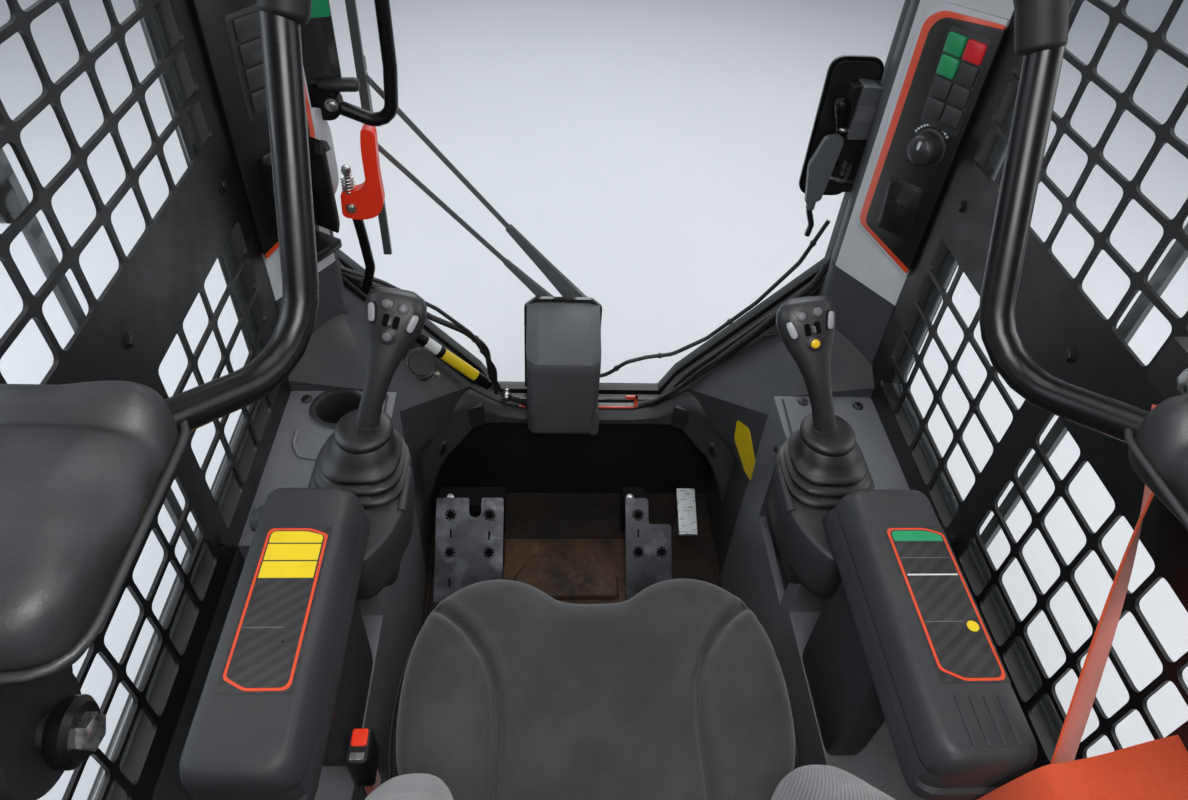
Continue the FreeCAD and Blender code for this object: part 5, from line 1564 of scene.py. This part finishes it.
def footrests():
    length = (REST_HIGH - REST_LOW).length
    heap = Heap()
    left = [(-262, 0), (-137, 0), (-137, length), (-179, length), (-179, length - 36), (-201, length - 36), (-201, length),
            (-262, length)]
    right = [(92, 0), (179, 0), (179, length - 49), (136, length - 49), (136, length), (92, length)]
    for outline, radii in ((left, [2, 2, 5, 5, 10, 10, 5, 5]), (right, [2, 2, 8, 6, 8, 5])):
        heap.add(*lifted(rounded(outline, radii, 4), -7.0, 0.0, on_rest), 0)
    # The stars, the slots and the slabs under the plates are near-black sheets: painted shade for holes and gaps that
    # are not cut.
    stars = [(x, s) for x in (-235, -163) for s in (length - 32, length - 101)] + [(116, length - 32), (116, length - 101),
                                                                                    (160, length - 101)]
    for x, s in stars:
        heap.add(*lifted(star(x, s), -0.5, 0.35, on_rest), 1)
        for k in range(8):
            t = 2 * math.pi * (k + 0.5) / 8
            hub = on_rest(x + 9.6 * math.cos(t), s + 9.6 * math.sin(t), 0.2)
            heap.add(*turned([(2.2, -0.6), (2.0, 1.2), (1.0, 2.0)], hub, (0, -0.615, 0.789), 8), 0)
    for x, s in ((-234, length - 66), (-163, length - 70), (116, length - 66), (-234, 40)):
        heap.add(*lifted(rounded([(x - 1.8, s - 8), (x + 1.8, s - 8), (x + 1.8, s + 8), (x - 1.8, s + 8)], 1.6, 3), -0.5, 0.3, on_rest), 1)
    for x in (-240, 104):
        bolt(heap, (x, 512, 178), (0, -0.5, 0.8), 6.0, 5.0, 2)
    for x0, x1 in ((-250, -149), (98, 130)):
        heap.add(*box((x0, 450, 80), (x1, 462, 160)), 1)
    heap.add(*box((-262, 497, 80), (-137, 540, 176)), 3)
    heap.add(*box((92, 497, 80), (134, 540, 176)), 3)
    heap.make("footrest_plates", ("plate", "hole_shade", "chrome", "frame"), slot="steel", replaces="footrests", edge=0.5, smooth=40.0)
    floor = Heap()
    step = [(-96, 421), (52, 421), (76, 394), (76, 350), (-114, 350), (-114, 394)]
    floor.add(*box((-137, 190, 79.5), (104, 487, 81.5)), 0)
    floor.add(*loft([plan_ring(step, 6, z, inset) for z, inset in ((79.5, -5), (81, -5), (91, 0), (92.5, 2))]), 0)
    for x0, x1, y0, y1, top in ((-279, -136, 190, 490, 83), (103, 279, 190, 490, 83), (-279, 279, 487, 599, 87)):
        floor.add(*loft([plan_ring([(x0, y0), (x1, y0), (x1, y1), (x0, y1)], 4, z, inset) for z, inset in
                         ((79.5, 0), (top - 1.5, 0), (top, 2))]), 1)
    for side in (-1, 1):
        floor.add(*tube([(side * 274, 180, 82), (side * 274, 594, 82)], 5.0, count=10), 1)
    floor.make("floor_tray", ("floor", "mat"), slot="floor_black", edge=1.2)


def console_details():
    heap = Heap()
    cup = (-355, 365, 560)
    heap.add(*turned([(1, -69), (31.2, -69), (31.4, -2), (36, 0.4), (39.5, 1.2), (40.5, 3.2), (38, 4.6), (33, 3.4), (30.4, -1),
                      (30, -66), (1, -66)], cup, (0, 0, 1), 48), 0)
    lip = [(-404, 318, 561), (-402, 292, 561), (-390, 272, 561), (-360, 268, 561), (-338, 270, 561)]
    heap.add(*tube(lip, 3.0, bend=16, count=12), 1)
    for x, y in ((-404, 390), (322, 396), (404, 388), (-300, 398)):
        heap.add(*turned([(8, -1), (8, 1.2), (6.5, 3.2), (3, 4.2)], (x, y - 8, 560), (0, 0, 1), 24), 0)
        heap.add(*turned([(3, 0), (3, 1)], (x, y - 8, 563.6), (0, 0, 1), 6), 2)
    for side in (1, -1):
        for y in (165, 335):
            bolt(heap, (side * 279.5, y, 515), (-side, 0, 0), 4.5, 3.0, 0)
        heap.add(*tube([(side * 283, 136, 561), (side * 290, 330, 561), (side * 292, 392, 561)], 1.6, bend=20, count=8), 0)
    heap.make("console_fittings", ("grip", "shelf", "panel"), slot="trim_dark", smooth=45.0)
    drape("console_label", ("console_right", "sloping_trim_right"), (1, 0, 0), 200.0,
          [(392, 372), (420, 366), (452, 412), (456, 452), (428, 460), (396, 412)], "yellow")


def drape(name, nodes, way, start, outline, look):
    """A thin blank label laid on CAD surfaces by casting its outline, given in y and z, along x."""
    verts, faces = [], []
    for node in nodes:
        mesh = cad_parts[node].data
        shift = len(verts)
        verts += [v.co / MM for v in mesh.vertices]
        faces += [tuple(i + shift for i in p.vertices) for p in mesh.polygons]
    tree = BVHTree.FromPolygons(verts, faces)
    low, high = [], []
    for y, z in rounded(outline, 5, 3):
        spot, normal, _, _ = tree.ray_cast(Vector((start, y, z)), Vector(way))
        low.append(spot - Vector(way) * 0.1)
        high.append(spot - Vector(way) * 1.2)
    piece(name, *loft([low, high]), look, slot="trim_grey")


def trim_details():
    heap = Heap()
    hub = Vector((-268, 529, 500))
    out = Vector((0.42, -0.52, 0.74)).normalized()
    heap.add(*turned([(28, -44), (28, 2), (26.5, 5.5), (23, 7), (1, 7.6)], hub, out, 40), 0)
    heap.add(*turned([(21, 6.4), (20, 9), (1, 9.6)], hub, out, 40), 0)
    bolt(heap, Vector((-246, 548, 460)), Vector((0.74, 0.11, 0.67)), 5.0, 5.0, 1)
    for side in (1, -1):
        heap.add(*tube([(side * 300, 566, 540), (side * 352, 540, 575), (side * 398, 500, 590)], 1.8, bend=30, count=8), 0)
    heap.make("trim_cap", ("panel", "chrome"), slot="trim_grey", smooth=40.0)


# Outside: lamps, roof, walls, seals

def lamps():
    lo, hi = node_box("lamps")
    heap = Heap()
    for side in (1, -1):
        x0, x1 = side * 324.0, side * 434.0
        a, b = min(x0, x1), max(x0, x1)
        rim = [(a, lo.z), (b, lo.z), (b, hi.z), (a, hi.z)]
        mid = Vector(((a + b) / 2, (lo.z + hi.z) / 2))

        def ring(y, inset):
            return [(p[0] - inset * (p[0] - mid.x) / 40.0, y, p[1] - inset * (p[1] - mid.y) / 22.0)
                    for p in rounded(rim, 10, 5)]

        heap.add(*loft([ring(lo.y, 10), ring(lo.y + 10, 3), ring(hi.y - 8, 0), ring(hi.y - 1, 0), ring(hi.y, 1), ring(hi.y, 4),
                        ring(hi.y - 4, 4.5)]), 0)
        heap.add(*loft([ring(hi.y - 6, 5), ring(hi.y - 3.4, 5)]), 1)
        for k in (-1, 1):
            heap.add(*turned([(17, 0), (13, -0.2), (6, -3), (1, -4)][::-1], (mid.x + k * 24, hi.y - 2.4, mid.y), (0, 1, 0), 24), 2)
        for fin in range(5):
            heap.add(*box((a + 14 + fin * 18, lo.y - 0.5, lo.z + 8), (a + 18 + fin * 18, lo.y + 12, hi.z - 8)), 0)
    heap.make("lamp_units", ("frame", "mirror", "lens"), slot="lamp", replaces="lamps", smooth=35.0)


def seal_round(heap, points, radius, mark=0):
    """A closed bead through points."""
    rings = []
    count = len(points)
    path = [Vector(p) for p in points]
    normal = (path[count // 3] - path[0]).cross(path[2 * count // 3] - path[0]).normalized()
    for index, hub in enumerate(path):
        ahead = (path[(index + 1) % count] - path[index - 1]).normalized()
        side = normal.cross(ahead).normalized()
        rings.append([hub + side * a + normal * b for a, b in oval(radius, radius, 2.0, 10)])
    heap.add(*loft(rings, closed=True), mark)


def outside():
    heap = Heap()
    lo, hi = node_box("roof")
    hatch_lo, hatch_hi = node_box("roof_window")
    top = hi.z
    for side in (1, -1):
        for x in (300.0, 372.0):
            heap.add(*loft([[(side * px, py, top + h) for px, py in rounded([(x - w, -560 + i), (x + w, -560 + i), (x + w, 520 - i),
                      (x - w, 520 - i)], 14, 4)] for h, w, i in ((-2, 24, 0), (3, 23, 2), (6, 17, 8))]), 0)
    seal_round(heap, [(a, b, top + 1.0) for a, b in rounded([(hatch_lo.x, hatch_lo.y), (hatch_hi.x, hatch_lo.y),
               (hatch_hi.x, hatch_hi.y), (hatch_lo.x, hatch_hi.y)], 40, 6)], 7.0, 1)
    for x in (-200, 0, 200):
        bolt(heap, (x, hatch_lo.y - 42, top), (0, 0, 1), 7.0, 5.0, 2)
        bolt(heap, (x, hatch_hi.y + 42, top), (0, 0, 1), 7.0, 5.0, 2)
    heap.make("roof_fittings", ("shell", "seal", "chrome"), slot="frame_black", edge=1.0, smooth=40.0)

    heap = Heap()
    lo, hi = node_box("rear_wall")
    pane_lo, pane_hi = node_box("rear_window")
    y = lo.y
    seal_round(heap, [(a, y - 1.0, b) for a, b in rounded([(pane_lo.x, pane_lo.z), (pane_hi.x, pane_lo.z), (pane_hi.x, pane_hi.z),
               (pane_lo.x, pane_hi.z)], 36, 6)], 7.0, 1)
    for row in range(7):
        z = 250 + row * 38.0
        slat = rounded([(-230, z), (230, z), (230, z + 20), (-230, z + 20)], 9, 4)
        heap.add(*extrude_y(slat, y - 6, y + 2), 0)
    for x in (-400, 400):
        for z in (160, 460, 720, 1000, 1300):
            bolt(heap, (x, y, z), (0, -1, 0), 7.0, 5.0, 2)
    heap.make("rear_fittings", ("shell", "seal", "chrome"), slot="frame_black", edge=1.0, smooth=40.0)

    heap = Heap()
    pane_lo, pane_hi = node_box("side_windows")
    for side in (1, -1):
        x = side * (pane_hi.x + 1.0)
        border = rounded([(pane_lo.y + 6, pane_lo.z + 6), (pane_hi.y - 6, pane_lo.z + 6), (pane_hi.y - 6, pane_hi.z - 6),
                          (pane_lo.y + 6, pane_hi.z - 6)], 34, 6)
        seal_round(heap, [(x, a, b) for a, b in border], 6.0, 0)
        heap.add(*box((x - 2, 86, pane_lo.z + 8), (x + 4, 100, pane_hi.z - 8)), 0)
        heap.add(*extrude_x(rounded([(60, 1040), (84, 1040), (84, 1100), (60, 1100)], 8, 4), x - 2, x + 9), 0)
    heap.make("window_beads", ("seal",), slot="soft_black", smooth=50.0)

    heap = Heap()
    lo, hi = node_box("side_panels")
    for side in (1, -1):
        x = hi.x if side > 0 else lo.x
        for y0, y1 in ((-190, 60), (100, 370)):
            outer = rounded([(y0, 180), (y1, 180), (y1, 520), (y0, 520)], 26, 5)
            inner = rounded([(y0 + 16, 196), (y1 - 16, 196), (y1 - 16, 504), (y0 + 16, 504)], 18, 5)
            heap.add(*loft([[(x - side * 1.0, a, b) for a, b in outer], [(x + side * 1.5, a, b) for a, b in outer],
                            [(x + side * 5.0, a, b) for a, b in inner]]), 0)
        for y in (-205, 82, 384):
            for z in (130, 350, 565):
                bolt(heap, (x, y, z), (side, 0, 0), 6.5, 4.5, 1)
    heap.make("side_fittings", ("shell", "chrome"), slot="frame_black", edge=1.0, smooth=35.0)


def hinge_details():
    lo, hi = node_box("door_hinges")
    heap = Heap()
    for z in (lo.z, hi.z):
        heap.add(*turned([(8, 0), (8, 3), (5, 6)], (-458, 646, z), (0, 0, 1 if z > 1000 else -1), 20))
    heap.make("hinge_caps", "chrome", slot="frame_black", smooth=40.0)


def pivot_details():
    heap = Heap()
    for side in (1, -1):
        hub = (side * 299, -270, 970)
        heap.add(*turned([(15, 0), (17, 3), (17, 8), (14, 11)], hub, (-side, 0, 0), 28), 1)
        bolt(heap, (side * 290, -270, 970), (-side, 0, 0), 9.5, 8.0, 0)
        heap.add(*turned([(26, 0), (26, 5), (22, 8), (1, 8.5)], (side * 320, -270, 970), (side, 0, 0), 32), 1)
    heap.make("pivot_bolts", ("chrome", "gloss"), body="seat_bar", slot="frame_black", smooth=40.0)


def seat_suspension():
    lo, hi = node_box("seat_base")
    heap = Heap()
    corners = [(-190, -240), (190, -240), (190, 120), (-190, 120)]
    rings = [plan_ring(corners, 40, 82, 0)]
    folds = 6
    for k in range(folds):
        z = 92.0 + k * (250.0 / folds)
        rings += [plan_ring(corners, 34, z, 2), plan_ring(corners, 34, z + 10, -3), plan_ring(corners, 34, z + 20, 2),
                  plan_ring(corners, 30, z + 31, 16), plan_ring(corners, 30, z + 36, 16)]
    rings.append(plan_ring(corners, 34, 352, 4))
    heap.add(*loft(rings), 1)
    heap.add(*loft([plan_ring([(-230, -360), (230, -360), (230, 140), (-230, 140)], 30, z, i) for z, i in
                    ((354, 8), (360, 0), (374, 0), (lo.z + 300, 3))]), 0)
    heap.add(*loft([plan_ring([(-205, -300), (205, -300), (205, 125), (-205, 125)], 20, z, i) for z, i in
                    ((79.5, 0), (88, 0), (92, 4))]), 0)
    for x0, x1, y0, y1 in ((230, 264, -252, -205), (-275, -230, -105, -65)):
        heap.add(*box((x0 - 6, y0, 364), (x1, y1, 376)), 0)
    for side in (1, -1):
        heap.add(*box((side * 205, -330, 344) if side > 0 else (-222, -330, 344), (222, 120, 356) if side > 0 else (-205, 120, 356)), 0)
    handle = [(-214, 60, 350), (-214, 172, 350), (-170, 196, 352), (-120, 196, 352)]
    heap.add(*tube(handle, 5.0, bend=24, count=12), 2)
    heap.make("seat_suspension", ("grip", "rubber", "chrome"), slot="trim_dark", replaces="seat_base", edge=0.8, smooth=40.0)


for hand in (1, -1):
    side_screen(hand)
dress_cad()
for build in (seat_cushion, seat_back, armrests, joysticks, boots, seat_bar, bar_pads, fascia, pillar_trims, keypad, switches,
              side_strip, wiper_cover, wiper_arms, latch, grab_loop, release_lever, gas_strut, cables, beads, belt, buckle, footrests, console_details,
              trim_details, lamps, outside, hinge_details, pivot_details, seat_suspension):
    build()
